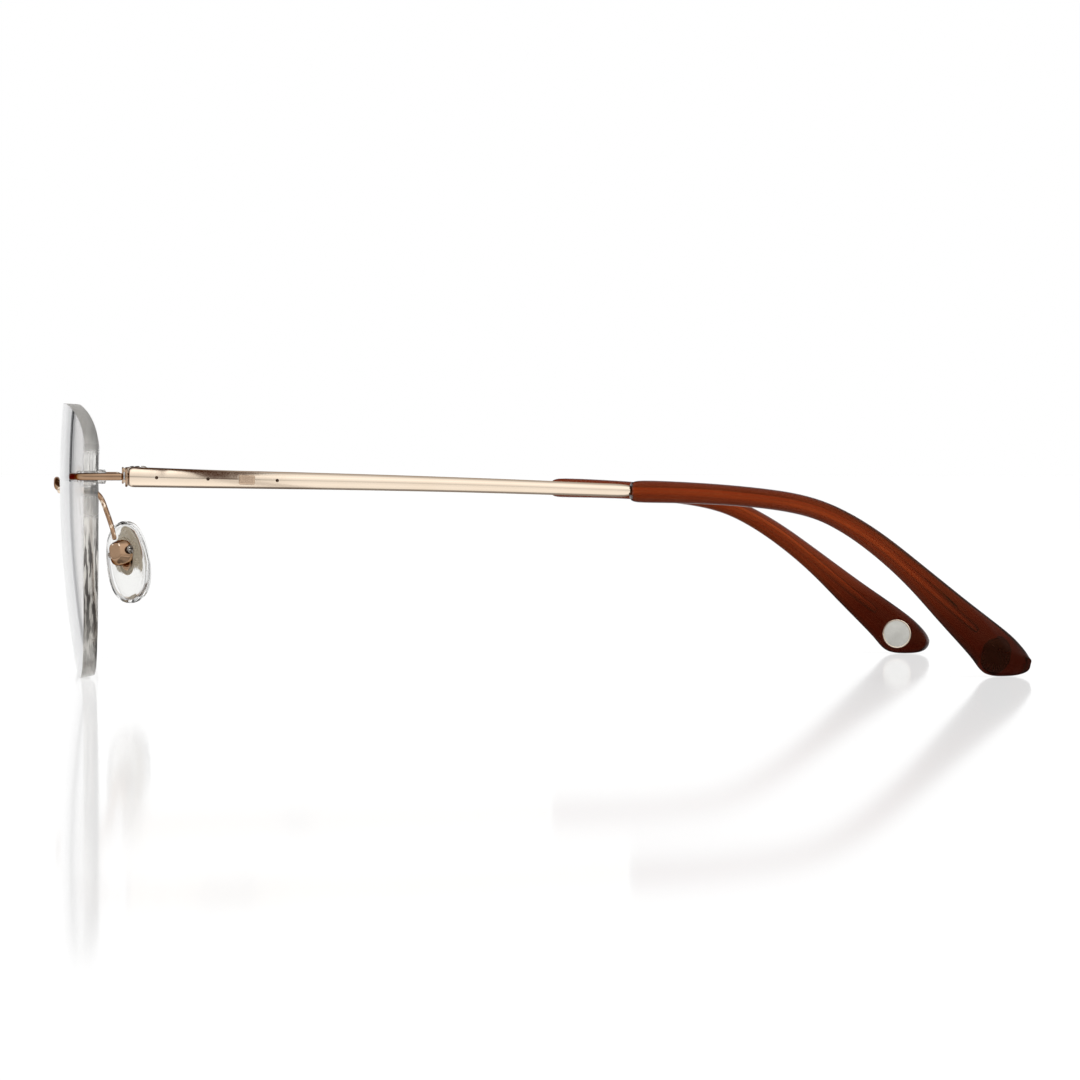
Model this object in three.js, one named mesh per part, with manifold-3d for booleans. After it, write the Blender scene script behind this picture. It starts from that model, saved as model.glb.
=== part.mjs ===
// Rimless eyeglasses, in millimetres.
// +X is the wearer's left, -Y is the front and +Z is up. They stand on the lenses and the temple tips.
// One side is built at +X, and a mirrored group carries the other.
import * as THREE from 'three';
import { mergeVertices } from 'three/addons/utils/BufferGeometryUtils.js';
import Module from 'manifold-3d';

const wasm = await Module();
wasm.setup();

// ---- driving dimensions -------------------------------------------------------------------------

// lens
const lensThickness = 2.1;
const lensCurveRadius = 157;
const lensMiddle = new THREE.Vector2(35, 20.5);
const lensFrontY = -5.71;
const lensWrapSlope = 0.045;
const lensTiltSlope = 0.0524;
const lensHoleRadius = 0.85;
const nasalMount = new THREE.Vector2(12.3, 28.0);
const temporalMount = new THREE.Vector2(58.9, 30.15);

// two-prong mount and the clear plug that grips it
const prongOffset = 1.25;
const prongRadius = 0.45;
const prongLength = 3.8;
const sleeveRadius = 0.78;
const plugBoreRadius = 0.5;
const plugPlate = { halfLength: 2.35, halfWidth: 1.0, corner: 0.95, front: 0.12, thickness: 1.35 };
const sleeveReach = { front: 0.1, intoPlate: 0.3 };
const mountBarGap = 0.12;
const mountBarDepth = 1.0;
const overcut = 1;

// bridge: half of its line, and its half width and half heights at the ends and in the middle
const bridgeLine = [[0, -6.8, 29.3], [3.4, -6.75, 29.05], [6.6, -6.6, 28.5]];
const bridgeHalfWidth = 0.5;
const bridgeHalfHeights = [0.55, 0.75];

// hinge
const hingeAxis = new THREE.Vector2(64.95, 5.8);
const knuckleRadius = 1.15;
const hingeHoleRadius = 0.62;
const hingeScrewRadius = 0.55;
const hingeLevels = {
  bottom: 28.85, lowerTop: 29.4, middleBottom: 29.47, middleTop: 30.6, upperBottom: 30.67, top: 31.4,
};
const strapLevel = 30.15;
const strapHalf = { width: 0.5, height: 0.53, endWidth: 0.42, endHeight: 0.42 };
const strapBends = [[63.15, -2.75], [64.6, -1.3], [66.1, 0.9]];
const collar = { left: 63.85, right: 68.6, bottom: 28.68, top: 31.54, front: 3.38, back: 3.95, corner: 1.3 };

// temple
const templeStart = 4.05;
const templeEnd = 77.8;
const templeHalfWidth = 1.15;
const templeEndWidthShare = 0.78;
const templePoints = [[67.4, templeStart, 30.12], [67.95, 20, 29.72], [67.9, 35, 29.42], [66.2, 54, 28.9]];
const templeHalfHeights = [[templeStart, 1.46], [20, 1.27], [48, 1.1], [templeEnd, 0.95]];
const templeDome = { length: 0.7, endShare: 0.7 };
const templeWaist = { at: 9.6, depth: 0.05, spread: 0.9 };
const coreHalfWidth = 0.45;
const coreHalfHeight = 0.6;
const coreClearance = 0.12;
const coreSteps = 14;
const plaque = { along: 17.0, width: 2.25, height: 1.35, corner: 0.25, proud: 0.12, depth: 0.5 };

// temple tip
const tipStart = 77.15;
const tipStartX = 62.5;
const tipInwardSlope = 0.19;
const tipInwardCurve = 0.00172;
const tipHalfThicknesses = [1.42, 1.62];
const tipSectionPowers = [2.3, 3.4];
const discCentre = new THREE.Vector2(134.6, 3.35);
const discRadius = 2.42;
const discDepth = 0.6;
const discClearance = 0.1;

// nose pad
const padPivot = new THREE.Vector3(11.9, 2.95, 18.3);
const padSplay = THREE.MathUtils.degToRad(-32);
const padLean = THREE.MathUtils.degToRad(-8);
const padRoll = THREE.MathUtils.degToRad(14.4);
const padWireRadius = 0.36;
const padScrewRadius = 0.4;
const padScrewHead = { radius: 0.72, from: 1.92, to: 2.3, slotWidth: 0.24 };
const padShankReach = [-1.9, 2.0];
const padBoreClearance = 0.06;
const padPlate = {
  halfWidth: 1.4, halfHeight: 3.05, front: -1.55, back: -2.05, level: -0.35, clearance: 0.1,
};
const padOutlineShape = {
  halfWidth: 3.8, taper: -0.15, square: 0.95, halfLength: 6.5, inset: 4.1, across: -0.2, level: -1.24,
};
// [distance from the nose side of the pivot, share of the outline] from the plate side to the skin side
const padLayers = [
  [-1.8, 0.8], [-1.95, 0.92], [-2.5, 1], [-3.1, 0.97], [-3.7, 0.85], [-4.05, 0.6], [-4.2, 0.25],
];

// ---- materials ----------------------------------------------------------------------------------

const champagneGold = { color: 0xdcc0a0, roughness: 0.18, metalness: 1 };
const roseGold = { color: 0xc2936f, roughness: 0.22, metalness: 1 };
const steel = { color: 0xb9b2aa, roughness: 0.3, metalness: 1 };
const clearLens = { color: 0xe9edee, roughness: 0.03, metalness: 0 };
const clearPlastic = { color: 0xe6e6e2, roughness: 0.12, metalness: 0 };
const brownAcetate = { color: 0x6e2712, roughness: 0.2, metalness: 0 };
const paleEnamel = { color: 0xdedcd2, roughness: 0.35, metalness: 0 };

// ---- solids -------------------------------------------------------------------------------------

function toSolid(geometry) {
  const bare = geometry.clone();
  bare.deleteAttribute('normal');
  bare.deleteAttribute('uv');
  const merged = mergeVertices(bare, 1e-4);
  return new wasm.Manifold(new wasm.Mesh({
    numProp: 3,
    vertProperties: new Float32Array(merged.attributes.position.array),
    triVerts: new Uint32Array(merged.index.array),
  }));
}

function toGeometry(solid) {
  const mesh = solid.getMesh();
  const geometry = new THREE.BufferGeometry();
  geometry.setAttribute('position', new THREE.BufferAttribute(new Float32Array(mesh.vertProperties), 3));
  geometry.setIndex(new THREE.BufferAttribute(new Uint32Array(mesh.triVerts), 1));
  geometry.computeVertexNormals();
  return geometry;
}

function join(first, ...others) {
  return toGeometry(others.reduce((sum, other) => sum.add(toSolid(other)), toSolid(first)));
}

function cut(body, ...tools) {
  return toGeometry(tools.reduce((rest, tool) => rest.subtract(toSolid(tool)), toSolid(body)));
}

function signedVolume(positions, index) {
  const corners = [new THREE.Vector3(), new THREE.Vector3(), new THREE.Vector3()];
  let volume = 0;
  for (let i = 0; i < index.length; i += 3) {
    corners.forEach((corner, k) => corner.fromArray(positions, index[i + k] * 3));
    volume += corners[0].dot(corners[1].clone().cross(corners[2]));
  }
  return volume;
}

// Closed skin over a row of equal rings, with a fan over each end.
function loft(rings) {
  const sides = rings[0].length;
  const positions = rings.flat().flatMap((point) => point.toArray());
  const index = [];
  for (let ring = 0; ring < rings.length - 1; ring += 1) {
    for (let side = 0; side < sides; side += 1) {
      const next = (side + 1) % sides;
      const near = ring * sides;
      const far = near + sides;
      index.push(near + side, near + next, far + next, near + side, far + next, far + side);
    }
  }
  [0, rings.length - 1].forEach((ring) => {
    const hub = positions.length / 3;
    const centre = rings[ring].reduce((sum, point) => sum.add(point), new THREE.Vector3());
    positions.push(...centre.divideScalar(sides).toArray());
    for (let side = 0; side < sides; side += 1) {
      const pair = [ring * sides + side, ring * sides + (side + 1) % sides];
      if (ring === 0) pair.reverse();
      index.push(hub, ...pair);
    }
  });
  if (signedVolume(positions, index) < 0) {
    for (let i = 0; i < index.length; i += 3) {
      [index[i], index[i + 1]] = [index[i + 1], index[i]];
    }
  }
  const geometry = new THREE.BufferGeometry();
  geometry.setAttribute('position', new THREE.Float32BufferAttribute(positions, 3));
  geometry.setIndex(index);
  return geometry;
}

// Rounded section: power 2 is an ellipse, and more is squarer.
function sectionPoint(angle, power) {
  const round = (value) => Math.sign(value) * Math.abs(value) ** (2 / power);
  return new THREE.Vector2(round(Math.cos(angle)), round(Math.sin(angle)));
}

function sectionRing(centre, sideways, upwards, sides, power) {
  return Array.from({ length: sides }, (_, i) => {
    const point = sectionPoint((i / sides) * Math.PI * 2 + Math.PI / sides, power);
    return centre.clone().addScaledVector(sideways, point.x).addScaledVector(upwards, point.y);
  });
}

// Bar of changing section along a curve. size(t) gives its half width and half height.
function bar(curve, stations, sides, power, size) {
  const rings = stations.map((t) => {
    const centre = curve.getPointAt(t);
    const along = curve.getTangentAt(t);
    const sideways = new THREE.Vector3().crossVectors(along, THREE.Object3D.DEFAULT_UP).normalize();
    const upwards = new THREE.Vector3().crossVectors(sideways, along).normalize();
    const [halfWidth, halfHeight] = size(t, centre);
    sideways.multiplyScalar(halfWidth);
    upwards.multiplyScalar(halfHeight);
    return sectionRing(centre, sideways, upwards, sides, power);
  });
  return loft(rings);
}

function evenSteps(count, from = 0, to = 1) {
  return Array.from({ length: count + 1 }, (_, i) => from + ((to - from) * i) / count);
}

// Cylinder along a local axis between two levels.
function rod(radius, from, to, axis = 'z', segments = 12) {
  const geometry = new THREE.CylinderGeometry(radius, radius, to - from, segments);
  geometry.translate(0, (from + to) / 2, 0);
  if (axis === 'z') geometry.rotateX(Math.PI / 2);
  return geometry;
}

function slab(shape, from, to, curveSegments = 8) {
  const geometry = new THREE.ExtrudeGeometry(shape, { depth: to - from, bevelEnabled: false, curveSegments });
  geometry.translate(0, 0, from);
  return geometry;
}

function roundedRectangle(halfWidth, halfHeight, corner) {
  const shape = new THREE.Shape();
  const x = halfWidth - corner;
  const y = halfHeight - corner;
  shape.absarc(x, y, corner, 0, Math.PI / 2, false);
  shape.absarc(-x, y, corner, Math.PI / 2, Math.PI, false);
  shape.absarc(-x, -y, corner, Math.PI, Math.PI * 1.5, false);
  shape.absarc(x, -y, corner, Math.PI * 1.5, Math.PI * 2, false);
  return shape;
}

function placed(geometry, matrix) {
  return geometry.clone().applyMatrix4(matrix);
}

// ---- lens ---------------------------------------------------------------------------------------

const lensSphereCentre = new THREE.Vector3(
  lensMiddle.x - lensWrapSlope * lensCurveRadius,
  lensFrontY + lensCurveRadius * (1 - (lensWrapSlope ** 2 + lensTiltSlope ** 2) / 2),
  lensMiddle.y + lensTiltSlope * lensCurveRadius,
);

function lensFront(x, z) {
  const across = (x - lensSphereCentre.x) ** 2 + (z - lensSphereCentre.z) ** 2;
  return new THREE.Vector3(x, lensSphereCentre.y - Math.sqrt(lensCurveRadius ** 2 - across), z);
}

function lensInward(point) {
  return lensSphereCentre.clone().sub(point).normalize();
}

// Local frame on the lens: x runs outwards along it, z points backwards through it, 0 is its front face.
function lensFrame(mount) {
  const origin = lensFront(mount.x, mount.y);
  const through = lensInward(origin);
  const across = new THREE.Vector3(1, 0, 0).addScaledVector(through, -through.x).normalize();
  const upright = new THREE.Vector3().crossVectors(through, across);
  return new THREE.Matrix4().makeBasis(across, upright, through).setPosition(origin);
}

// Crown panto outline: arched top, sloping shoulders, short upright sides and a round bottom.
function lensOutline() {
  const shape = new THREE.Shape();
  shape.moveTo(23.5, 40.35);
  shape.quadraticCurveTo(35, 41.6, 44.5, 40.75);
  shape.quadraticCurveTo(59.4, 39.4, 62, 34.9);
  shape.lineTo(62, 27.2);
  shape.bezierCurveTo(61.6, 15.5, 53, 0, 38, 0);
  shape.bezierCurveTo(20, 0, 10.4, 15, 9, 27.2);
  shape.lineTo(8.6, 34.6);
  shape.quadraticCurveTo(12.4, 38.7, 23.5, 40.35);
  const points = shape.getPoints(10);
  points.pop();
  return points;
}

function makeLens() {
  const outline = lensOutline();
  const faceRings = [0.15, 0.5, 0.8, 1];
  const ringAt = (share, depth) => outline.map((point) => {
    const x = lensMiddle.x + (point.x - lensMiddle.x) * share;
    const z = lensMiddle.y + (point.y - lensMiddle.y) * share;
    const front = lensFront(x, z);
    return front.addScaledVector(lensInward(front), depth);
  });
  const front = faceRings.map((share) => ringAt(share, 0));
  const back = faceRings.toReversed().map((share) => ringAt(share, lensThickness));
  const holes = [nasalMount, temporalMount].flatMap((mount) => [-prongOffset, prongOffset].map((offset) => {
    const hole = rod(lensHoleRadius, -overcut, lensThickness + overcut);
    hole.translate(offset, 0, 0);
    return placed(hole, lensFrame(mount));
  }));
  return cut(loft([...front, ...back]), ...holes);
}

// Clear plug: a plate behind the lens with a sleeve through each hole.
function makePlug(mount) {
  const plateFront = lensThickness + plugPlate.front;
  const plateBack = plateFront + plugPlate.thickness;
  const outline = roundedRectangle(plugPlate.halfLength, plugPlate.halfWidth, plugPlate.corner);
  const plate = slab(outline, plateFront, plateBack, 4);
  const offsets = [-prongOffset, prongOffset];
  const sleeveEnd = plateFront + sleeveReach.intoPlate;
  const sleeves = offsets.map((x) => rod(sleeveRadius, sleeveReach.front, sleeveEnd).translate(x, 0, 0));
  const bores = offsets.map((x) => rod(plugBoreRadius, -overcut, plateBack + overcut).translate(x, 0, 0));
  return placed(cut(join(plate, ...sleeves), ...bores), lensFrame(mount));
}

function makeProngs(mount) {
  const root = -mountBarGap - mountBarDepth / 2;
  return [-prongOffset, prongOffset].map((x) => {
    const prong = rod(prongRadius, root, prongLength, 'z', 10).translate(x, 0, 0);
    return placed(prong, lensFrame(mount));
  });
}

function onMount(mount, x) {
  return new THREE.Vector3(x, 0, -mountBarGap - mountBarDepth / 2).applyMatrix4(lensFrame(mount));
}

// ---- bridge -------------------------------------------------------------------------------------

function makeBridge() {
  const half = [
    ...bridgeLine.map((point) => new THREE.Vector3(...point)),
    onMount(nasalMount, -2.4),
    onMount(nasalMount, 0),
    onMount(nasalMount, 2.3),
  ];
  const other = half.slice(1).map((point) => new THREE.Vector3(-point.x, point.y, point.z));
  const curve = new THREE.CatmullRomCurve3([...other.toReversed(), ...half], false, 'centripetal');
  const size = (t) => {
    const fromEnd = Math.min(t, 1 - t);
    const endShare = fromEnd < 0.012 ? 0.65 : 1;
    const rise = THREE.MathUtils.smoothstep(fromEnd, 0.25, 0.5);
    return [bridgeHalfWidth * endShare, THREE.MathUtils.lerp(...bridgeHalfHeights, rise) * endShare];
  };
  const stations = [0, 0.012, ...evenSteps(18, 0.04, 0.96), 0.988, 1];
  const prongs = makeProngs(nasalMount);
  const mirror = new THREE.Matrix4().makeScale(-1, 1, 1);
  const otherProngs = prongs.map((prong) => flipped(placed(prong, mirror)));
  return join(bar(curve, stations, 10, 2.6, size), ...prongs, ...otherProngs);
}

// Turns the faces of a mirrored geometry outwards again.
function flipped(geometry) {
  const index = geometry.index.array;
  for (let i = 0; i < index.length; i += 3) {
    [index[i], index[i + 1]] = [index[i + 1], index[i]];
  }
  return geometry;
}

// ---- end piece and hinge ------------------------------------------------------------------------

function knuckleShape(rootX, front, back) {
  const shape = new THREE.Shape();
  const { x, y } = hingeAxis;
  if (rootX < x) {
    shape.moveTo(x + 0.85, front);
    shape.lineTo(x + 0.85, y - 0.7);
    shape.absarc(x, y, knuckleRadius, -0.65, Math.PI, false);
    shape.lineTo(rootX, front);
  } else {
    shape.moveTo(rootX, front);
    shape.lineTo(rootX, back);
    shape.lineTo(x, y + knuckleRadius);
    shape.absarc(x, y, knuckleRadius, Math.PI / 2, Math.PI * 1.5, false);
  }
  return shape;
}

function hingeBore() {
  const bore = rod(hingeHoleRadius, hingeLevels.bottom - overcut, hingeLevels.top + overcut, 'z', 14);
  return bore.translate(hingeAxis.x, hingeAxis.y, 0);
}

function makeEndPiece() {
  const curve = new THREE.CatmullRomCurve3([
    onMount(temporalMount, -2.3),
    onMount(temporalMount, 0),
    onMount(temporalMount, 2.3),
    ...strapBends.map(([x, y]) => new THREE.Vector3(x, y, strapLevel)),
    new THREE.Vector3(67.0, collar.front + 0.2, strapLevel),
  ], false, 'centripetal');
  const startSize = [strapHalf.endWidth, strapHalf.endHeight];
  const size = (t) => (t < 0.02 ? startSize : [strapHalf.width, strapHalf.height]);
  const strap = bar(curve, [0, 0.02, ...evenSteps(12, 0.06, 1)], 10, 3.2, size);
  const middleX = (collar.left + collar.right) / 2;
  const middleZ = (collar.bottom + collar.top) / 2;
  const halfWidth = (collar.right - collar.left) / 2;
  const outline = roundedRectangle(halfWidth, (collar.top - collar.bottom) / 2, collar.corner);
  const block = slab(outline, 0, collar.back - collar.front, 4);
  block.rotateX(Math.PI / 2);
  block.translate(middleX, collar.back, middleZ);
  const ear = knuckleShape(hingeAxis.x - knuckleRadius, collar.back - 0.2);
  const lower = slab(ear, hingeLevels.bottom, hingeLevels.lowerTop, 8);
  const upper = slab(ear, hingeLevels.upperBottom, hingeLevels.top, 8);
  return cut(join(strap, block, lower, upper, ...makeProngs(temporalMount)), hingeBore());
}

function makeHingeScrew() {
  const { bottom, top } = hingeLevels;
  const profile = [
    [0, bottom - 0.15],
    [hingeScrewRadius - 0.1, bottom - 0.15],
    [hingeScrewRadius, bottom],
    [hingeScrewRadius, top + 0.03],
    [0.95, top + 0.03],
    [0.95, top + 0.2],
    [0.8, top + 0.3],
    [0, top + 0.3],
  ].map(([r, z]) => new THREE.Vector2(r, z));
  const turned = new THREE.LatheGeometry(profile, 14);
  turned.rotateX(Math.PI / 2);
  const slot = new THREE.BoxGeometry(2.4, 0.26, 0.3);
  slot.translate(0, 0, top + 0.32);
  return cut(turned, slot).translate(hingeAxis.x, hingeAxis.y, 0);
}

// ---- temple -------------------------------------------------------------------------------------

// Sideways place of the temple's and the tip's middle at a distance back.
const templeLine = new THREE.CatmullRomCurve3(
  [...templePoints, [tipStartX, templeEnd, 28.05]].map((point) => new THREE.Vector3(...point)),
  false,
  'centripetal',
);

function tipX(y) {
  const back = y - templeEnd;
  return tipStartX - tipInwardSlope * back - tipInwardCurve * back ** 2;
}

// Direction square to the tip's outer face at a distance back.
function tipOutwards(y) {
  const slope = tipInwardSlope + 2 * tipInwardCurve * Math.max(y - templeEnd, 0);
  return new THREE.Vector3(1, slope, 0).normalize();
}

const coreLine = new THREE.CatmullRomCurve3([
  [templeEnd - 1.5, 28.1], [84, 27.95], [91.75, 27.5], [102.75, 26.1], [108.25, 24.3],
  [114.65, 20.6], [121, 15.5], [127, 10.3], [131, 7.0],
].map(([y, z]) => new THREE.Vector3(tipX(y), y, z)), false, 'centripetal');

function templeHalfHeight(y) {
  const span = templeHalfHeights.findIndex(([place], i) => i > 0 && y < place);
  const to = span < 0 ? templeHalfHeights.length - 1 : span;
  const [[y0, half0], [y1, half1]] = [templeHalfHeights[to - 1], templeHalfHeights[to]];
  return THREE.MathUtils.mapLinear(y, y0, y1, half0, half1);
}

// Hinge housing with a domed front end and a slight waist behind it, then a long taper.
function templeSize(t, centre) {
  const y = centre.y;
  const fromFront = y - templeStart;
  const { length, endShare } = templeDome;
  const rounding = Math.sqrt(1 - Math.max(1 - fromFront / length, 0) ** 2);
  const dome = THREE.MathUtils.lerp(endShare, 1, rounding);
  const waist = 1 - templeWaist.depth * Math.exp(-(((y - templeWaist.at) / templeWaist.spread) ** 2));
  const taper = THREE.MathUtils.lerp(1, templeEndWidthShare, THREE.MathUtils.smoothstep(y, 12, templeEnd));
  return [templeHalfWidth * dome * waist * taper, templeHalfHeight(y) * dome];
}

function makeTemple() {
  const front = [0, 0.002, 0.005, 0.0095, 0.055, 0.066, 0.075, 0.084, 0.095];
  const arm = bar(templeLine, [...front, ...evenSteps(10, 0.14, 1)], 14, 2.5, templeSize);
  const core = bar(coreLine, evenSteps(coreSteps), 8, 2, () => [coreHalfWidth, coreHalfHeight]);
  const knuckle = slab(
    knuckleShape(hingeAxis.x + 1.9, hingeAxis.y - 1.1, hingeAxis.y + 1.1),
    hingeLevels.middleBottom,
    hingeLevels.middleTop,
    8,
  );
  const pocket = placed(plaqueBlock(0.1), plaqueFrame());
  return cut(join(arm, core, knuckle), hingeBore(), pocket);
}

function plaqueFrame() {
  const t = plaque.along / templeLine.getLength();
  const centre = templeLine.getPointAt(t);
  const along = templeLine.getTangentAt(t);
  const outwards = new THREE.Vector3().crossVectors(along, THREE.Object3D.DEFAULT_UP).normalize();
  const upwards = new THREE.Vector3().crossVectors(outwards, along);
  const [halfWidth] = templeSize(t, centre);
  centre.addScaledVector(outwards, halfWidth);
  return new THREE.Matrix4().makeBasis(along, upwards, outwards).setPosition(centre);
}

function plaqueBlock(grow) {
  const outline = roundedRectangle(plaque.width / 2 + grow, plaque.height / 2 + grow, plaque.corner);
  return slab(outline, -plaque.depth - grow, plaque.proud, 3);
}

// ---- temple tip ---------------------------------------------------------------------------------

// Upper and lower edge of the tip seen from the side, as pairs across it.
const tipEdges = [
  { upper: [80, 29.6], lower: [80, 26.3] },
  { upper: [92, 28.95], lower: [91.5, 26.0] },
  { upper: [103.5, 27.5], lower: [102, 24.75] },
  { upper: [109.8, 25.15], lower: [107.3, 23.1] },
  { upper: [115.8, 21.6], lower: [113.2, 19.5] },
  { upper: [122.3, 16.75], lower: [119.6, 14.2] },
  { upper: [128.9, 11.6], lower: [125.3, 8.1] },
  { upper: [134.7, 7.15], lower: [130.2, 2.4] },
  { upper: [137.9, 4.5], lower: [132.6, -0.1] },
  { upper: [139.2, 2.4], lower: [135.2, -0.3] },
  { upper: [139.3, 1.3], lower: [137.6, -0.1] },
];

function edgeCurve(side) {
  const points = tipEdges.map((pair) => new THREE.Vector3(0, ...pair[side]));
  points.unshift(new THREE.Vector3(0, tipStart, side === 'upper' ? 29.55 : 26.35));
  return new THREE.CatmullRomCurve3(points, false, 'centripetal');
}

const upperEdge = edgeCurve('upper');
const lowerEdge = edgeCurve('lower');

function tipHalfThickness(t) {
  const paddle = THREE.MathUtils.smoothstep(t, 0.55, 0.85);
  return THREE.MathUtils.lerp(...tipHalfThicknesses, paddle);
}

// Frame across the tip: its middle, its upward half height and its outward half thickness.
function tipStation(t) {
  const upper = upperEdge.getPoint(t);
  const lower = lowerEdge.getPoint(t);
  const centre = upper.clone().add(lower).multiplyScalar(0.5);
  const outwards = tipOutwards(centre.y);
  const upwards = upper.clone().sub(lower).multiplyScalar(0.5);
  centre.x = tipX(centre.y);
  return { centre, upwards, outwards };
}

function tipRing(t) {
  const { centre, upwards, outwards } = tipStation(t);
  const start = t < 0.04 ? 0.8 + 0.2 * Math.sqrt(1 - (1 - t / 0.04) ** 2) : 1;
  const end = t > 0.9 ? Math.sqrt(Math.max(1 - ((t - 0.9) / 0.112) ** 2, 0)) : 1;
  const squareness = THREE.MathUtils.lerp(...tipSectionPowers, THREE.MathUtils.smoothstep(t, 0.5, 0.8));
  upwards.multiplyScalar(start);
  outwards.multiplyScalar(tipHalfThickness(t) * start * end);
  return sectionRing(centre, outwards, upwards, 14, squareness);
}

function discFrame() {
  const outwards = tipOutwards(discCentre.x);
  const upwards = new THREE.Vector3(0, 0, 1);
  const along = new THREE.Vector3().crossVectors(upwards, outwards);
  const centre = new THREE.Vector3(tipX(discCentre.x), discCentre.x, discCentre.y);
  centre.addScaledVector(outwards, -tipHalfThicknesses[1]);
  return new THREE.Matrix4().makeBasis(outwards, along, upwards).setPosition(centre);
}

function discBlock(grow) {
  const disc = rod(discRadius + grow, -discDepth / 2 - 0.05, discDepth / 2 + grow, 'y', 24);
  disc.rotateZ(-Math.PI / 2);
  return placed(disc, discFrame());
}

function makeTip() {
  const stations = [0, 0.01, 0.025, 0.04, ...evenSteps(15, 0.08, 0.9), 0.93, 0.96, 0.985, 1];
  const bore = bar(coreLine, evenSteps(coreSteps), 8, 2, () => [
    coreHalfWidth + coreClearance,
    coreHalfHeight + coreClearance,
  ]);
  const socket = bar(templeLine, [0.975, 1], 12, 2.5, (t, centre) => {
    const [halfWidth, halfHeight] = templeSize(t, centre);
    return [halfWidth + coreClearance, halfHeight + coreClearance];
  });
  const floor = new THREE.BoxGeometry(60, 40, 10).translate(45, 130, -5);
  const nearEnd = coreLine.getPointAt(0.98);
  const pastEnd = nearEnd.clone().lerp(coreLine.getPointAt(1), 1.3);
  const end = bar(new THREE.LineCurve3(nearEnd, pastEnd), [0, 1], 8, 2, () => [
    coreHalfWidth + coreClearance,
    coreHalfHeight + coreClearance,
  ]);
  return cut(loft(stations.map(tipRing)), bore, end, socket, floor, discBlock(discClearance));
}

// ---- nose pad -----------------------------------------------------------------------------------

// Local frame of a pad: x points away from the nose, y backwards across the pad and z up along it.
const padFrame = new THREE.Matrix4()
  .makeRotationZ(padSplay)
  .multiply(new THREE.Matrix4().makeRotationY(padLean))
  .multiply(new THREE.Matrix4().makeRotationX(padRoll))
  .setPosition(padPivot);

// Ring across the local x axis.
function padRing(x, halfWidth, halfHeight, sides, power, lower = 0) {
  const centre = new THREE.Vector3(x, 0, lower);
  const across = new THREE.Vector3(0, halfWidth, 0);
  return sectionRing(centre, across, new THREE.Vector3(0, 0, halfHeight), sides, power);
}

function crossRod(radius, from, to, segments = 14) {
  return rod(radius, from, to, 'y', segments);
}

function makePadBox() {
  const cup = loft([
    padRing(-1.0, 1.85, 1.95, 16, 2.8),
    padRing(-0.2, 1.8, 1.9, 16, 2.8),
    padRing(0.9, 1.3, 1.65, 16, 3),
    padRing(1.35, 0.95, 1.35, 16, 3.4),
  ]);
  const hollow = new THREE.BoxGeometry(1.95, 1.6, 2.6).translate(-0.12, 0, 0);
  return placed(cut(cup, hollow, crossRod(padScrewRadius + padBoreClearance, -3, 3)), padFrame);
}

function makePadScrew() {
  const { radius, from, to, slotWidth } = padScrewHead;
  const shank = crossRod(padScrewRadius, ...padShankReach);
  const head = crossRod(radius, from, to);
  const slot = new THREE.BoxGeometry(3 * radius, 0.3, slotWidth).translate(0, to, 0);
  return placed(cut(join(shank, head), slot), padFrame);
}

// Oval plate that the pad is moulded on, or the pocket for it.
function padPlateBlock(grow) {
  const { halfWidth, halfHeight, front, back, level } = padPlate;
  const ringAt = (x) => padRing(x, halfWidth + grow, halfHeight + grow, 18, 2.2, level);
  return loft([ringAt(back - grow), ringAt(front + grow / 2)]);
}

function makePadInsert() {
  const plate = padPlateBlock(0);
  const boss = loft([
    padRing(-1.65, 0.65, 0.95, 12, 4),
    padRing(0.3, 0.65, 0.95, 12, 4),
    padRing(0.6, 0.65, 0.6, 12, 3),
  ]);
  return placed(cut(join(plate, boss), crossRod(padScrewRadius + padBoreClearance, -2, 2)), padFrame);
}

// Drop outline of the pad: fuller below, narrower above.
function padOutline(share) {
  const shape = padOutlineShape;
  return Array.from({ length: 28 }, (_, i) => {
    const angle = (i / 28) * Math.PI * 2;
    const up = Math.sin(angle);
    const halfWidth = (shape.halfWidth + shape.taper * up + shape.square * up ** 2) * share;
    const halfLength = shape.halfLength - (1 - share) * shape.inset;
    return new THREE.Vector2(halfWidth * Math.cos(angle) + shape.across, halfLength * up + shape.level);
  });
}

function makeNosePad() {
  const rings = padLayers.map(([x, share]) => padOutline(share).map((p) => new THREE.Vector3(x, p.x, p.y)));
  return placed(cut(loft(rings), padPlateBlock(padPlate.clearance)), padFrame);
}

// Wire from the bridge, round the lens's inner edge and down to the pad box.
function makePadArm() {
  const end = new THREE.Vector3(0.85, 0, 1.85).applyMatrix4(padFrame);
  const beforeEnd = new THREE.Vector3(1.0, 0, 3.2).applyMatrix4(padFrame);
  const curve = new THREE.CatmullRomCurve3([
    new THREE.Vector3(7.1, -5.62, 28.3),
    new THREE.Vector3(7.0, -3.6, 28.2),
    new THREE.Vector3(7.2, -1.7, 28.0),
    new THREE.Vector3(8.1, -0.1, 27.0),
    new THREE.Vector3(9.8, 1.0, 24.5),
    beforeEnd,
    end,
  ], false, 'centripetal');
  return bar(curve, evenSteps(16), 8, 2, () => [padWireRadius, padWireRadius]);
}

// ---- assembly -----------------------------------------------------------------------------------

const glasses = new THREE.Group();
const left = new THREE.Group();
const right = new THREE.Group();
right.scale.x = -1;
glasses.add(left, right);

function addMesh(group, name, geometry, look) {
  const mesh = new THREE.Mesh(geometry, new THREE.MeshStandardMaterial(look));
  mesh.name = name;
  group.add(mesh);
}

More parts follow.
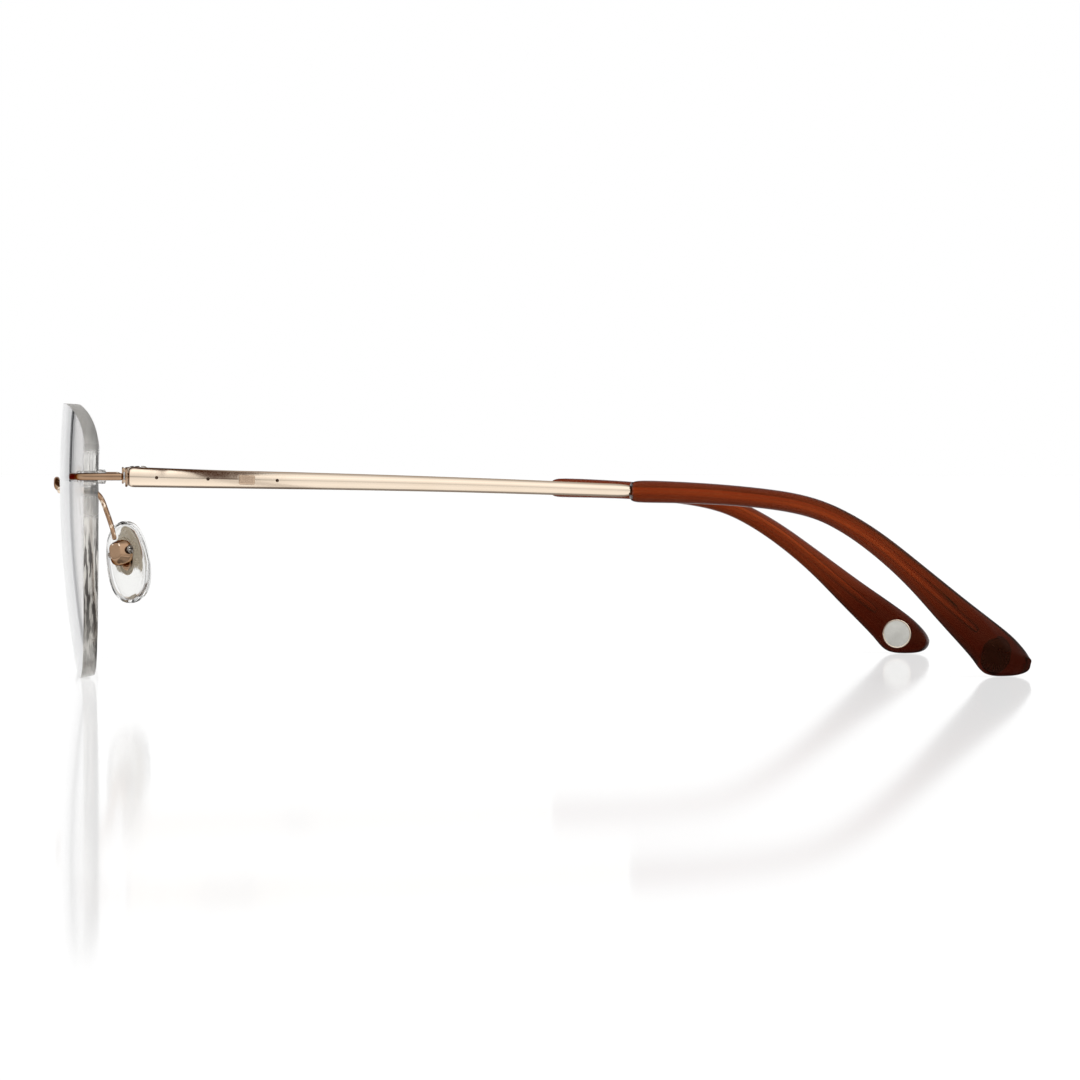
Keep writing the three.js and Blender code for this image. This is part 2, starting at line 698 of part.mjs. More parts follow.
const sidePieces = {
  lens: [makeLens(), clearLens],
  nasal_plug: [makePlug(nasalMount), clearPlastic],
  temporal_plug: [makePlug(temporalMount), clearPlastic],
  end_piece: [makeEndPiece(), champagneGold],
  hinge_screw: [makeHingeScrew(), steel],
  temple: [makeTemple(), champagneGold],
  temple_inlay: [placed(plaqueBlock(0), plaqueFrame()), champagneGold],
  temple_tip: [makeTip(), brownAcetate],
  tip_disc: [discBlock(0), paleEnamel],
  pad_arm: [makePadArm(), roseGold],
  pad_box: [makePadBox(), roseGold],
  pad_screw: [makePadScrew(), steel],
  pad_insert: [makePadInsert(), roseGold],
  nose_pad: [makeNosePad(), clearPlastic],
};

addMesh(glasses, 'bridge', makeBridge(), champagneGold);
Object.entries(sidePieces).forEach(([name, [geometry, look]]) => {
  addMesh(left, `left_${name}`, geometry, look);
  addMesh(right, `right_${name}`, geometry, look);
});

// The origin is the bottom centre of the whole box.
const box = new THREE.Box3().setFromObject(glasses);
const base = box.getCenter(new THREE.Vector3()).setZ(box.min.z);
glasses.position.copy(base.negate());

export default glasses;
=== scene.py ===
import math

import bmesh
import bpy
from mathutils import Matrix, Vector
from mathutils.geometry import interpolate_bezier


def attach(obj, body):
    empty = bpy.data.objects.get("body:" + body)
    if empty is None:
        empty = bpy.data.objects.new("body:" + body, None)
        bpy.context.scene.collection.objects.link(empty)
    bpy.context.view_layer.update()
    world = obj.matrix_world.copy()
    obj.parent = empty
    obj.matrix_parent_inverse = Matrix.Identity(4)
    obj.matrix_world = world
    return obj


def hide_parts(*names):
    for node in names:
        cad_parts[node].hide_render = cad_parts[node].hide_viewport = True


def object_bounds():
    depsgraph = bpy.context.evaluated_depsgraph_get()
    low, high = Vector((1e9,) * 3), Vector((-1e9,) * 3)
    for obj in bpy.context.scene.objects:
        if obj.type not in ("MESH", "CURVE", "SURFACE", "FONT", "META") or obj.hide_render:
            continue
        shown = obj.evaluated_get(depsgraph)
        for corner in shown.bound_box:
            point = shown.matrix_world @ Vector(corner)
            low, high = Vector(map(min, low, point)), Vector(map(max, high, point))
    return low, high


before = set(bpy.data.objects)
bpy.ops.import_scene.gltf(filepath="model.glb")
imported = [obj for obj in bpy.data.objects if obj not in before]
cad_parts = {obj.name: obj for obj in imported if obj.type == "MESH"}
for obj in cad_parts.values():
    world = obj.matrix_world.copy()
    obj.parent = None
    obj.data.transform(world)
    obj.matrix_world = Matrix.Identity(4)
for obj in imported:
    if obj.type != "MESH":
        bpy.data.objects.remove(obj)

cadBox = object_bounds()
mm = 0.001
scene = bpy.context.scene

# the working datum lies on the floor, in the middle, level with the back edge of the lenses' outer corner
frontReach = 7.6003
datumY = cadBox[0].y + frontReach * mm


def at(x, y, z):
    return Vector((x * mm, datumY + y * mm, z * mm))


def mix(a, b, share):
    return a + (b - a) * share


def smooth(value, low, high):
    t = min(max((value - low) / (high - low), 0), 1)
    return t * t * (3 - 2 * t)


def meshFrom(name, points, faces, edges=()):
    mesh = bpy.data.meshes.new(name)
    mesh.from_pydata([tuple(p) for p in points], edges, faces)
    mesh.update()
    return mesh


def newPiece(name, mesh, *stack):
    piece = bpy.data.objects.new(name, mesh)
    scene.collection.objects.link(piece)
    for add in stack:
        add(piece)
    return piece


def shifted(x, y=0, z=0):
    return Matrix.Translation(Vector((x, y, z)) * mm)


def framed(centre, x, y, z):
    return Matrix.Translation(centre) @ Matrix((x, y, z)).transposed().to_4x4()


# ---- camera, light and floor

camera = {
    "place": (0.76897, -0.065333, 0.03162),
    "yaw": 0.0893,
    "pitch": 0.0151,
    "lens": 162.27,
}


def makeCamera():
    data = bpy.data.cameras.new("view")
    data.lens = camera["lens"]
    data.sensor_width = 36
    data.clip_start = 0.01
    data.clip_end = 100
    cam = bpy.data.objects.new("view", data)
    yaw, pitch = camera["yaw"], camera["pitch"]
    forward = Vector((-math.cos(yaw) * math.cos(pitch), math.sin(yaw) * math.cos(pitch), -math.sin(pitch)))
    cam.rotation_euler = forward.to_track_quat("-Z", "Y").to_euler()
    cam.location = camera["place"]
    scene.collection.objects.link(cam)
    scene.camera = cam


def node(tree, kind, links=None, **settings):
    made = tree.nodes.new("ShaderNode" + kind)
    for key, value in settings.items():
        setattr(made, key, value)
    for key, value in (links or {}).items():
        if isinstance(value, bpy.types.NodeSocket):
            tree.links.new(value, made.inputs[key])
        else:
            made.inputs[key].default_value = value
    return made


# the helpers below put their nodes in the tree of the first socket they are given

def filled(tone):
    return (*tone, 1) if isinstance(tone, tuple) else (tone, tone, tone, 1)


def ramp(value, stops):
    made = node(value.id_data, "ValToRGB", {0: value})
    elements = made.color_ramp.elements
    elements[1].position = stops[-1][0]
    elements[0].position = stops[0][0]
    for place, tone in stops[1:-1]:
        elements.new(place)
    for element, (place, tone) in zip(elements, stops):
        element.color = filled(tone)
    return made.outputs[0]


def sums(kind, *values):
    return node(values[0].id_data, "Math", dict(enumerate(values)), operation=kind).outputs[0]


def product(first, *others):
    for other in others:
        first = sums("MULTIPLY", first, other)
    return first


def spread(value, low, high, first=0.0, last=1.0, **settings):
    # low to high becomes first to last, and stays there beyond them
    links = {"Value": value, "From Min": low, "From Max": high, "To Min": first, "To Max": last}
    return node(value.id_data, "MapRange", links, **settings).outputs[0]


def axes(place):
    return node(place.id_data, "SeparateXYZ", {0: place}).outputs


def band(value, middle, halfWidth, fade):
    # 1 within halfWidth of the middle, 0 beyond it and its fade
    off = sums("ABSOLUTE", sums("SUBTRACT", value, middle))
    return spread(off, halfWidth, halfWidth + fade, 1.0, 0.0, interpolation_type="SMOOTHSTEP")


def blendTones(share, *tones):
    first, second = [t if isinstance(t, bpy.types.NodeSocket) else filled(t) for t in tones]
    return node(share.id_data, "Mix", {0: share, 6: first, 7: second}, data_type="RGBA").outputs[2]


# brightness all round, by direction: +X is towards the camera, +Y to the back of the glasses
studio = {
    "nearFront": [(0.0, 0.42), (0.07, 0.46), (0.17, 0.82), (0.4, 0.98), (0.66, 1.15), (0.9, 1.45)],
    "nearBack": [(0.0, 0.72), (0.07, 0.78), (0.2, 0.95), (0.45, 1.15), (0.7, 1.35), (0.95, 1.1)],
    "backCard": 0.6,
    "frontCard": 0.78,
    "backdrop": {"turn": 0.085, "reach": 0.25, "fade": 0.09},
    "panel": {"turn": 0.026, "lean": -0.0155, "curve": -0.029, "halfWidth": 0.016, "fade": 0.007,
              "tone": (0.075, 0.034, 0.02)},
    "slit": {"turn": -0.286, "halfWidth": 0.012, "fade": 0.006, "tone": 0.03},
    "flag": {"turn": -0.285, "halfWidth": 0.318, "fade": 0.01, "tone": (0.1, 0.058, 0.038)},
}


def makeStudio():
    world = bpy.data.worlds.new("studio")
    scene.world = world
    world.use_nodes = True
    tree = world.node_tree
    tree.nodes.clear()
    x, y, z = axes(node(tree, "TexCoord").outputs["Generated"])
    # camera side: dull at the table's edge, brighter up to the overhead light, duller towards the front
    frontPart, backPart = ramp(z, studio["nearFront"]), ramp(z, studio["nearBack"])
    nearSide = blendTones(spread(y, 0.0, 0.05), frontPart, backPart)
    # far side: cards either side of a round white backdrop, with a narrow dark slit between the front ones
    cards = spread(y, -0.35, 0.25, studio["frontCard"], studio["backCard"])
    drop = studio["backdrop"]
    aside = sums("SUBTRACT", y, drop["turn"])
    away = sums("SQRT", sums("ADD", sums("POWER", aside, 2.0), sums("POWER", z, 2.0)))
    farSide = blendTones(band(away, 0.0, drop["reach"], drop["fade"]), cards, 1.0)
    slit = studio["slit"]
    dark = band(y, slit["turn"], slit["halfWidth"], slit["fade"])
    farSide = blendTones(dark, farSide, slit["tone"])
    sky = blendTones(spread(x, -0.15, 0.15), farSide, nearSide)
    # narrow dark panel over the camera, leaning back overhead, a little weaker straight towards the camera
    panel = studio["panel"]
    lean = sums("MULTIPLY_ADD", x, panel["curve"], panel["lean"])
    lean = sums("MULTIPLY_ADD", x, lean, panel["turn"])
    across = band(sums("SUBTRACT", y, lean), 0.0, panel["halfWidth"], panel["fade"])
    strength = ramp(spread(x, -1.0, 1.0), [(0.2, 0.0), (0.25, 1.0), (0.9, 1.0), (1.0, 0.85)])
    share = product(across, strength, spread(z, -0.05, 0.0))
    sky = blendTones(share, sky, panel["tone"])
    # dark flag behind, between the horizon and the overhead light
    flag = studio["flag"]
    beside = band(y, flag["turn"], flag["halfWidth"], flag["fade"])
    share = product(beside, spread(x, -0.25, -0.4), spread(z, 0.24, 0.32))
    sky = blendTones(share, sky, flag["tone"])
    # the camera itself sees plain white all round
    seen = node(tree, "LightPath").outputs["Is Camera Ray"]
    light = node(tree, "Background", {"Color": blendTones(seen, sky, 1.0), "Strength": 1.0})
    node(tree, "OutputWorld", {"Surface": light.outputs[0]})
    scene.view_settings.view_transform = "Standard"


floorLook = {
    "width": 30.0, "mirror": 0.32, "glow": 0.55, "matte": 0.3, "roughness": 0.07,
    "shadeReach": 0.062, "shadeFade": 0.008,
}


def makeFloor():
    half = floorLook["width"] / 2
    corners = [(-half, -half, 0), (half, -half, 0), (half, half, 0), (-half, half, 0)]
    floor = newPiece("floor", meshFrom("floor", corners, [(0, 1, 2, 3)]))
    material = bpy.data.materials.new("white_gloss_table")
    material.use_nodes = True
    tree = material.node_tree
    tree.nodes.clear()
    # painted shade: the part of the table behind the lenses, between the temples, is dark to what the metal
    # mirrors
    x, y, z = axes(node(tree, "NewGeometry").outputs["Position"])
    mirrored = node(tree, "LightPath").outputs["Is Reflection Ray"]
    inside = band(x, 0.0, floorLook["shadeReach"], floorLook["shadeFade"])
    shaded = product(inside, mirrored, sums("GREATER_THAN", y, datumY))
    lit = floorLook["glow"] / (1 - floorLook["mirror"])
    strength = spread(shaded, 0.0, 1.0, lit, 0.0)
    glow = node(tree, "Emission", {"Color": (1, 1, 1, 1), "Strength": strength})
    matte = node(tree, "BsdfDiffuse", {"Color": filled(floorLook["matte"])})
    gloss = node(tree, "BsdfAnisotropic", {"Color": (1, 1, 1, 1), "Roughness": floorLook["roughness"]})
    base = node(tree, "AddShader", {0: glow.outputs[0], 1: matte.outputs[0]})
    both = node(tree, "MixShader", {0: floorLook["mirror"], 1: base.outputs[0], 2: gloss.outputs[0]})
    node(tree, "OutputMaterial", {"Surface": both.outputs[0]})
    floor.data.materials.append(material)


makeCamera()
makeStudio()
makeFloor()
print("camera, light and floor ready")


# ---- materials

partHeight = 0.0411


def noise(place, scale, detail, **more):
    links = {"Vector": place, "Scale": scale, "Detail": detail, **more}
    return node(place.id_data, "TexNoise", links).outputs["Fac"]


def levelOf(place):
    # 0 on the table, 1 at the top of the glasses
    return spread(axes(place)[2], 0.0, partHeight)


def newGroup(name, inputs, outputs):
    # inputs by their first value: None for a place, a tuple for a colour
    tree = bpy.data.node_groups.new(name, "ShaderNodeTree")
    for label, value in inputs.items():
        kind = "Vector" if value is None else "Color" if isinstance(value, tuple) else "Float"
        socket = tree.interface.new_socket(label, in_out="INPUT", socket_type="NodeSocket" + kind)
        if value is not None:
            socket.default_value = value
    for label, kind in outputs.items():
        tree.interface.new_socket(label, in_out="OUTPUT", socket_type="NodeSocket" + kind)
    return tree, tree.nodes.new("NodeGroupInput").outputs, tree.nodes.new("NodeGroupOutput").inputs


def makeHandledGroup():
    # smears that change the gloss, and a fine grain
    tree, given, put = newGroup("handledSurface", {
        "Place": None, "Smear Scale": 300.0, "Gloss": 0.1, "Smeared": 0.2, "Grain Scale": 4000.0,
    }, {"Roughness": "Float", "Height": "Float"})
    smears = noise(given["Place"], given["Smear Scale"], 4.0, Roughness=0.6, Distortion=0.5)
    tree.links.new(spread(smears, 0.35, 0.75, given["Gloss"], given["Smeared"]), put["Roughness"])
    tree.links.new(noise(given["Place"], given["Grain Scale"], 2.0), put["Height"])
    return tree


def makeToneGroup():
    # slow drift between two tones, with paler pointed edges: partly wear, partly painted highlight
    tree, given, put = newGroup("toneDrift", {
        "Place": None, "Scale": 120.0, "Tone": (0.5, 0.5, 0.5, 1), "Other Tone": (0.5, 0.5, 0.5, 1),
        "Worn Highlight Tone": (0.8, 0.8, 0.8, 1), "Wear": 0.2,
    }, {"Colour": "Color"})
    drift = spread(noise(given["Place"], given["Scale"], 3.0), 0.35, 0.65)
    tones = blendTones(drift, given["Tone"], given["Other Tone"])
    edges = spread(node(tree, "NewGeometry").outputs["Pointiness"], 0.53, 0.6)
    wornAndHighlight = product(edges, given["Wear"])
    tree.links.new(blendTones(wornAndHighlight, tones, given["Worn Highlight Tone"]), put["Colour"])
    return tree


handledGroup = makeHandledGroup()
toneGroup = makeToneGroup()


def newMaterial(name, values=None, **sockets):
    # values are for the shared groups; without tones among them only the gloss and the grain are added
    material = bpy.data.materials.new(name)
    material.use_nodes = True
    tree = material.node_tree
    shader = tree.nodes["Principled BSDF"].inputs
    for label, value in sockets.items():
        shader[label.replace("_", " ")].default_value = value
    place = node(tree, "TexCoord").outputs["Object"]
    if values:
        picked = {label: values[label] for label in ("Smear Scale", "Gloss", "Smeared", "Grain Scale")}
        handled = node(tree, "Group", {"Place": place, **picked}, node_tree=handledGroup).outputs
        tree.links.new(handled["Roughness"], shader["Roughness"])
        addBump(shader, handled["Height"], values["Grain"], 0.00002)
    if values and "Tone" in values:
        picked = {label: filled(values[label]) for label in ("Tone", "Other Tone", "Worn Highlight Tone")}
        picked.update(Place=place, Scale=values["Scale"], Wear=values["Wear"])
        tones = node(tree, "Group", picked, node_tree=toneGroup)
        tree.links.new(tones.outputs["Colour"], shader["Base Color"])
    return material, tree, shader, place


def addBump(shader, height, strength, depth):
    tree = height.id_data
    bump = node(tree, "Bump", {"Height": height, "Strength": strength, "Distance": depth})
    tree.links.new(bump.outputs[0], shader["Normal"])


# the worn highlight tone pales pointed edges: partly wear, partly painted highlight; on the fittings and
# screws it is near white
metals = {
    "polished_champagne_gold": {
        "Tone": (0.85, 0.715, 0.575), "Other Tone": (0.82, 0.68, 0.535), "Worn Highlight Tone": (0.94, 0.86, 0.75),
        "Wear": 0.3, "Scale": 90.0, "Gloss": 0.04, "Smeared": 0.09, "Smear Scale": 260.0,
        "Grain Scale": 6000.0, "Grain": 0.02, "rim": (0.3, 0.17, 0.1)},
    "antique_gold_fittings": {
        "Tone": (0.44, 0.285, 0.18), "Other Tone": (0.36, 0.225, 0.14), "Worn Highlight Tone": (0.95, 0.8, 0.65),
        "Wear": 0.9, "Scale": 150.0, "Gloss": 0.06, "Smeared": 0.13, "Smear Scale": 400.0,
        "Grain Scale": 7000.0, "Grain": 0.08, "rim": (0.16, 0.08, 0.045)},
    "bright_core_wire": {
        "Tone": (0.93, 0.8, 0.66), "Other Tone": (0.9, 0.76, 0.62), "Worn Highlight Tone": (0.95, 0.88, 0.8),
        "Wear": 0.2, "Scale": 150.0, "Gloss": 0.1, "Smeared": 0.2, "Smear Scale": 400.0,
        "Grain Scale": 7000.0, "Grain": 0.05, "rim": (0.8, 0.7, 0.6)},
    "dull_pad_core": {
        "Tone": (0.4, 0.35, 0.27), "Other Tone": (0.34, 0.29, 0.22), "Worn Highlight Tone": (0.5, 0.45, 0.36),
        "Wear": 0.2, "Scale": 200.0, "Gloss": 0.25, "Smeared": 0.35, "Smear Scale": 500.0,
        "Grain Scale": 5000.0, "Grain": 0.1, "rim": (0.3, 0.25, 0.2)},
    "pale_gold_plate": {
        "Tone": (0.74, 0.55, 0.4), "Other Tone": (0.68, 0.5, 0.36), "Worn Highlight Tone": (0.92, 0.86, 0.76),
        "Wear": 0.3, "Scale": 200.0, "Gloss": 0.12, "Smeared": 0.2, "Smear Scale": 500.0,
        "Grain Scale": 5000.0, "Grain": 0.05, "rim": (0.4, 0.3, 0.22)},
    "screw_steel": {
        "Tone": (0.3, 0.26, 0.23), "Other Tone": (0.14, 0.12, 0.1), "Worn Highlight Tone": (0.9, 0.87, 0.82),
        "Wear": 0.9, "Scale": 400.0, "Gloss": 0.12, "Smeared": 0.26, "Smear Scale": 800.0,
        "Grain Scale": 9000.0, "Grain": 0.2, "rim": (0.3, 0.26, 0.22)},
    # painted shade: near black, for the pits of the temple's dimples
    "painted_pit_shade": {
        "Tone": (0.07, 0.04, 0.026), "Other Tone": (0.045, 0.027, 0.018), "Worn Highlight Tone": (0.2, 0.14, 0.1),
        "Wear": 0.1, "Scale": 400.0, "Gloss": 0.35, "Smeared": 0.5, "Smear Scale": 800.0,
        "Grain Scale": 9000.0, "Grain": 0.2, "rim": (0.05, 0.03, 0.02)},
}

def makeMetal(name):
    values = metals[name]
    # the rim colour tints each metal at grazing angles; dark on the golds, it paints shade along their edges
    return newMaterial(name, values, Metallic=1.0, Specular_Tint=filled(values["rim"]))[0]


clears = {
    "polished_clear_lens": {
        "tint": (0.985, 0.99, 0.99), "IOR": 1.56,
        "Gloss": 0.0, "Smeared": 0.012, "Smear Scale": 60.0, "Grain Scale": 500.0, "Grain": 0.0},
    "clear_mount_plastic": {
        "tint": (0.97, 0.965, 0.95), "IOR": 1.49,
        "Gloss": 0.02, "Smeared": 0.1, "Smear Scale": 500.0, "Grain Scale": 3500.0, "Grain": 0.1},
    "soft_clear_pad": {
        "tint": (0.965, 0.965, 0.955), "IOR": 1.43,
        "Gloss": 0.03, "Smeared": 0.12, "Smear Scale": 260.0, "Grain Scale": 900.0, "Grain": 0.6},
}


def makeClear(name):
    values = clears[name]
    tint = filled(values["tint"])
    return newMaterial(name, values, Base_Color=tint, IOR=values["IOR"], Transmission_Weight=1.0)


grazingShadeStops = [
    (0.74, (1.0, 1.0, 1.0)), (0.79, (0.58, 0.55, 0.54)), (0.838, (0.45, 0.42, 0.41)),
    (0.846, (0.07, 0.07, 0.075)), (0.858, (0.07, 0.07, 0.075)),
    (0.868, (0.6, 0.6, 0.63)), (0.95, (0.78, 0.78, 0.8)), (0.99, (0.9, 0.9, 0.92)),
]


def makeLensFace():
    # clear from the front; seen along its face the glass is painted grey, with a painted dark line for the
    # far face's rim
    material, tree, shader, place = makeClear("polished_clear_lens")
    grazingShade = ramp(node(tree, "LayerWeight", {"Blend": 0.5}).outputs["Facing"], grazingShadeStops)
    first = node(tree, "LightPath").outputs["Is Camera Ray"]
    outside = sums("SUBTRACT", first, node(tree, "NewGeometry").outputs["Backfacing"])
    outside = sums("MAXIMUM", outside, 0.0)
    # painted shade, on front faces seen by the camera only
    tone = blendTones(outside, clears["polished_clear_lens"]["tint"], grazingShade)
    tree.links.new(tone, shader["Base Color"])
    return material


# stops run from the table to the top of the lens
lensRim = {
    "IOR": 1.56,
    "clearness": 0.85,
    "frosted": [(0.0, 0.14), (0.255, 0.1), (0.27, 0.1), (0.58, 0.1), (0.6, 0.34), (0.66, 0.34), (0.68, 0.06),
                (0.8, 0.06), (0.84, 0.42)],
    "streaked": [(0.0, 0.3), (0.12, 0.55), (0.3, 1.0), (0.5, 0.95), (0.57, 0.15), (0.66, 0.3), (0.8, 0.3),
                 (0.84, 0.1)],
    "tones": [(0.0, (0.95, 0.91, 0.83)), (0.5, (0.96, 0.92, 0.85)), (0.57, (0.97, 0.93, 0.86)),
              (0.6, (1.0, 0.98, 0.94)), (0.8, (1.0, 0.99, 0.96)), (0.85, (0.7, 0.69, 0.66))],
    "hatch": (300.0, 2400.0, 260.0),
    "hatchEdges": (0.46, 0.52),
    "hatchDepth": 0.2,
    "streakTone": (0.02, 0.014, 0.01),
}


def makeLensRim():
    # cut edge: frosted round the top, polished lower down, with dark streaks along it; its colour by height
    # is painted light and shade
    material, tree, shader, place = newMaterial(
        "cut_lens_rim", IOR=lensRim["IOR"], Transmission_Weight=lensRim["clearness"])
    level = levelOf(place)
    uneven = spread(noise(place, 900.0, 3.0), 0.0, 1.0, 0.6, 1.3)
    tree.links.new(product(ramp(level, lensRim["frosted"]), uneven), shader["Roughness"])
    stretched = node(tree, "Mapping", {"Vector": place, "Scale": lensRim["hatch"]})
    hatch = noise(stretched.outputs[0], 1.0, 2.0)
    lines = product(spread(hatch, *lensRim["hatchEdges"]), ramp(level, lensRim["streaked"]))
    # painted light and shade by height: beige low down, near white above half way, grey at the top
    tone = blendTones(lines, ramp(level, lensRim["tones"]), lensRim["streakTone"])
    tree.links.new(tone, shader["Base Color"])
    addBump(shader, hatch, lensRim["hatchDepth"], 0.00004)
    return material


acetate = {
    "Tone": (0.78, 0.3, 0.11), "Other Tone": (0.66, 0.23, 0.08), "Worn Highlight Tone": (0.8, 0.34, 0.14), "Wear": 0.1,
    "Scale": 60.0, "Gloss": 0.03, "Smeared": 0.06, "Smear Scale": 180.0, "Grain Scale": 1800.0, "Grain": 0.0,
    "rim": (0.5, 0.2, 0.1),
    "depthTone": (0.62, 0.28, 0.0), "density": 1800.0,
    "edgeShadeTone": (0.12, 0.02, 0.006), "edge": [(0.35, 0.0), (0.7, 0.7), (0.92, 1.0)],
    "lowTone": (0.2, 0.045, 0.022), "low": [(0.1, 1.0), (0.2, 0.9), (0.36, 0.3), (0.55, 0.0)],
}


def makeAcetate():
    # cognac plastic, clear enough to show the wire inside
    material, tree, shader, place = newMaterial(
        "brown_acetate", acetate, IOR=1.36, Transmission_Weight=0.95, Specular_IOR_Level=0.2,
        Specular_Tint=filled(acetate["rim"]))
    # painted shade where it turns away from view, and darker towards the bottom
    edgeShade = ramp(node(tree, "LayerWeight", {"Blend": 0.5}).outputs["Facing"], acetate["edge"])
    tone = blendTones(edgeShade, shader["Base Color"].links[0].from_socket, acetate["edgeShadeTone"])
    tone = blendTones(ramp(levelOf(place), acetate["low"]), tone, acetate["lowTone"])
    tree.links.new(tone, shader["Base Color"])
    inside = {"Color": filled(acetate["depthTone"]), "Density": acetate["density"]}
    depth = node(tree, "VolumeAbsorption", inside)
    tree.links.new(depth.outputs[0], tree.nodes["Material Output"].inputs["Volume"])
    return material


enamel = {
    "Tone": (0.74, 0.73, 0.68), "Other Tone": (0.66, 0.65, 0.6), "Worn Highlight Tone": (0.85, 0.84, 0.8), "Wear": 0.3,
    "Scale": 500.0, "Gloss": 0.2, "Smeared": 0.35, "Smear Scale": 600.0, "Grain Scale": 5000.0, "Grain": 0.1,
}

champagneGold = makeMetal("polished_champagne_gold")
roseGold = makeMetal("antique_gold_fittings")
plateGold = makeMetal("pale_gold_plate")
coreMetal = makeMetal("bright_core_wire")
padCore = makeMetal("dull_pad_core")
screwSteel = makeMetal("screw_steel")
pitShade = makeMetal("painted_pit_shade")
lensClear = makeLensFace()
lensEdge = makeLensRim()
mountPlastic = makeClear("clear_mount_plastic")[0]
padSilicone = makeClear("soft_clear_pad")[0]
brownAcetate = makeAcetate()
paleEnamel = newMaterial("pale_enamel", enamel, IOR=1.5, Coat_Weight=0.5, Coat_Roughness=0.1)[0]
print("materials ready")


# ---- shared mesh work

def outwards(mesh):
    work = bmesh.new()
    work.from_mesh(mesh)
    bmesh.ops.remove_doubles(work, verts=work.verts, dist=0.000002)
    bmesh.ops.recalc_face_normals(work, faces=work.faces)
    work.to_mesh(mesh)
    work.free()
    mesh.update()
    return mesh


def loft(name, rings):
    # skin over equal rings, each end closed by one face
    sides = len(rings[0])
    faces = []
    for r in range(len(rings) - 1):
        for s in range(sides):
            n = (s + 1) % sides
            faces.append((r * sides + s, r * sides + n, (r + 1) * sides + n, (r + 1) * sides + s))
    faces.append(tuple(range(sides)))
    faces.append(tuple((len(rings) - 1) * sides + s for s in range(sides)))
    return outwards(meshFrom(name, [p for ring in rings for p in ring], faces))


def cageSwell(sides):
    # a subdivided ring shrinks by this much, so its cage starts bigger
    return 6 / (4 + 2 * math.cos(2 * math.pi / sides))


def sectionRing(centre, sideways, upwards, sides, power=2.0):
    points = []
    for i in range(sides):
        angle = 2 * math.pi * (i + 0.5) / sides
        c, s = math.cos(angle), math.sin(angle)
        u = math.copysign(abs(c) ** (2 / power), c)
        v = math.copysign(abs(s) ** (2 / power), s)
        points.append(centre + sideways * u + upwards * v)
    return points


def curveSpans(points):
    # centripetal curve through the points: one function of 0 to 1 for each span
    spots = [Vector(p) for p in points]
    spots = [spots[0] * 2 - spots[1]] + spots + [spots[-1] * 2 - spots[-2]]

    def span(a, b, c, d):
        gaps = [max((q - p).length, 1e-9) ** 0.5 for p, q in ((a, b), (b, c), (c, d))]
        k1, k2, k3 = gaps[0], gaps[0] + gaps[1], sum(gaps)

        def spot(share):
            t = mix(k1, k2, share)
            p1 = a * ((k1 - t) / k1) + b * (t / k1)
            p2 = b * ((k2 - t) / (k2 - k1)) + c * ((t - k1) / (k2 - k1))
            p3 = c * ((k3 - t) / (k3 - k2)) + d * ((t - k2) / (k3 - k2))
            q1 = p1 * ((k2 - t) / k2) + p2 * (t / k2)
            q2 = p2 * ((k3 - t) / (k3 - k1)) + p3 * ((t - k1) / (k3 - k1))
            return q1 * ((k2 - t) / (k2 - k1)) + q2 * ((t - k1) / (k2 - k1))
        return spot
    return [span(*spots[i:i + 4]) for i in range(len(points) - 1)]


def curveThrough(points, steps):
    # places and directions along the curve, by share of its length
    line = [spot(s / 24) for spot in curveSpans(points) for s in range(24)] + [Vector(points[-1])]
    lengths = [0.0]
    for p, q in zip(line, line[1:]):
        lengths.append(lengths[-1] + (q - p).length)
    places = []
    for share in steps:
        target = share * lengths[-1]
        k = max(i for i, length in enumerate(lengths[:-1]) if length <= target + 1e-12)
        part = (target - lengths[k]) / max(lengths[k + 1] - lengths[k], 1e-12)
        places.append((line[k].lerp(line[k + 1], part), (line[k + 1] - line[k]).normalized()))
    return places


def spanPlaces(points, steps):
    # places on the curve through the points, by share of the number of spans
    spans = curveSpans(points)
    found = []
    for share in steps:
        place = min(share * len(spans), len(spans) - 1e-9)
        found.append(spans[int(place)](place - int(place)))
    return found


def evenly(count, low=0.0, high=1.0):
    return [mix(low, high, i / count) for i in range(count + 1)]


def barRings(points, steps, sides, power, size):
    # rings across a line; size(share, centre) gives the half width and half height in millimetres
    swell = cageSwell(sides) * mm
    rings = []
    for share, (centre, along) in zip(steps, curveThrough(points, steps)):
        sideways = along.cross(Vector((0, 0, 1))).normalized()
        upright = sideways.cross(along).normalized()
        halfWidth, halfHeight = size(share, centre)
        sideways, upright = sideways * halfWidth * swell, upright * halfHeight * swell
        rings.append(sectionRing(centre, sideways, upright, sides, power))
    return rings


def subdivided(levels=2):
    def add(piece):
        stack = piece.modifiers.new("rounding", "SUBSURF")
        stack.levels = stack.render_levels = levels
    return add


def bevelled(width, segments=2, angle=35):
    def add(piece):
        stack = piece.modifiers.new("edge", "BEVEL")
        stack.width = width * mm
        stack.segments = segments
        stack.limit_method = "ANGLE"
        stack.angle_limit = math.radians(angle)
        stack.harden_normals = True
        stack.use_clamp_overlap = True
    return add


def applyStack(piece):
    bpy.context.view_layer.update()
    depsgraph = bpy.context.evaluated_depsgraph_get()
    shaped = bpy.data.meshes.new_from_object(piece.evaluated_get(depsgraph))
    piece.modifiers.clear()
    piece.data = shaped
    return piece


def combined(piece, tools, operation):
    # joins or cuts with helpers, which are then removed
    for tool in tools:
        stack = piece.modifiers.new("work", "BOOLEAN")
        stack.operation = operation
        stack.solver = "EXACT"
        stack.object = tool
    applyStack(piece)
    for tool in tools:
        bpy.data.objects.remove(tool)
    return piece


def takeMesh(piece):
    mesh = piece.data
    bpy.data.objects.remove(piece)
    return mesh


def cut(piece, tools):
    return takeMesh(combined(piece, tools, "DIFFERENCE"))


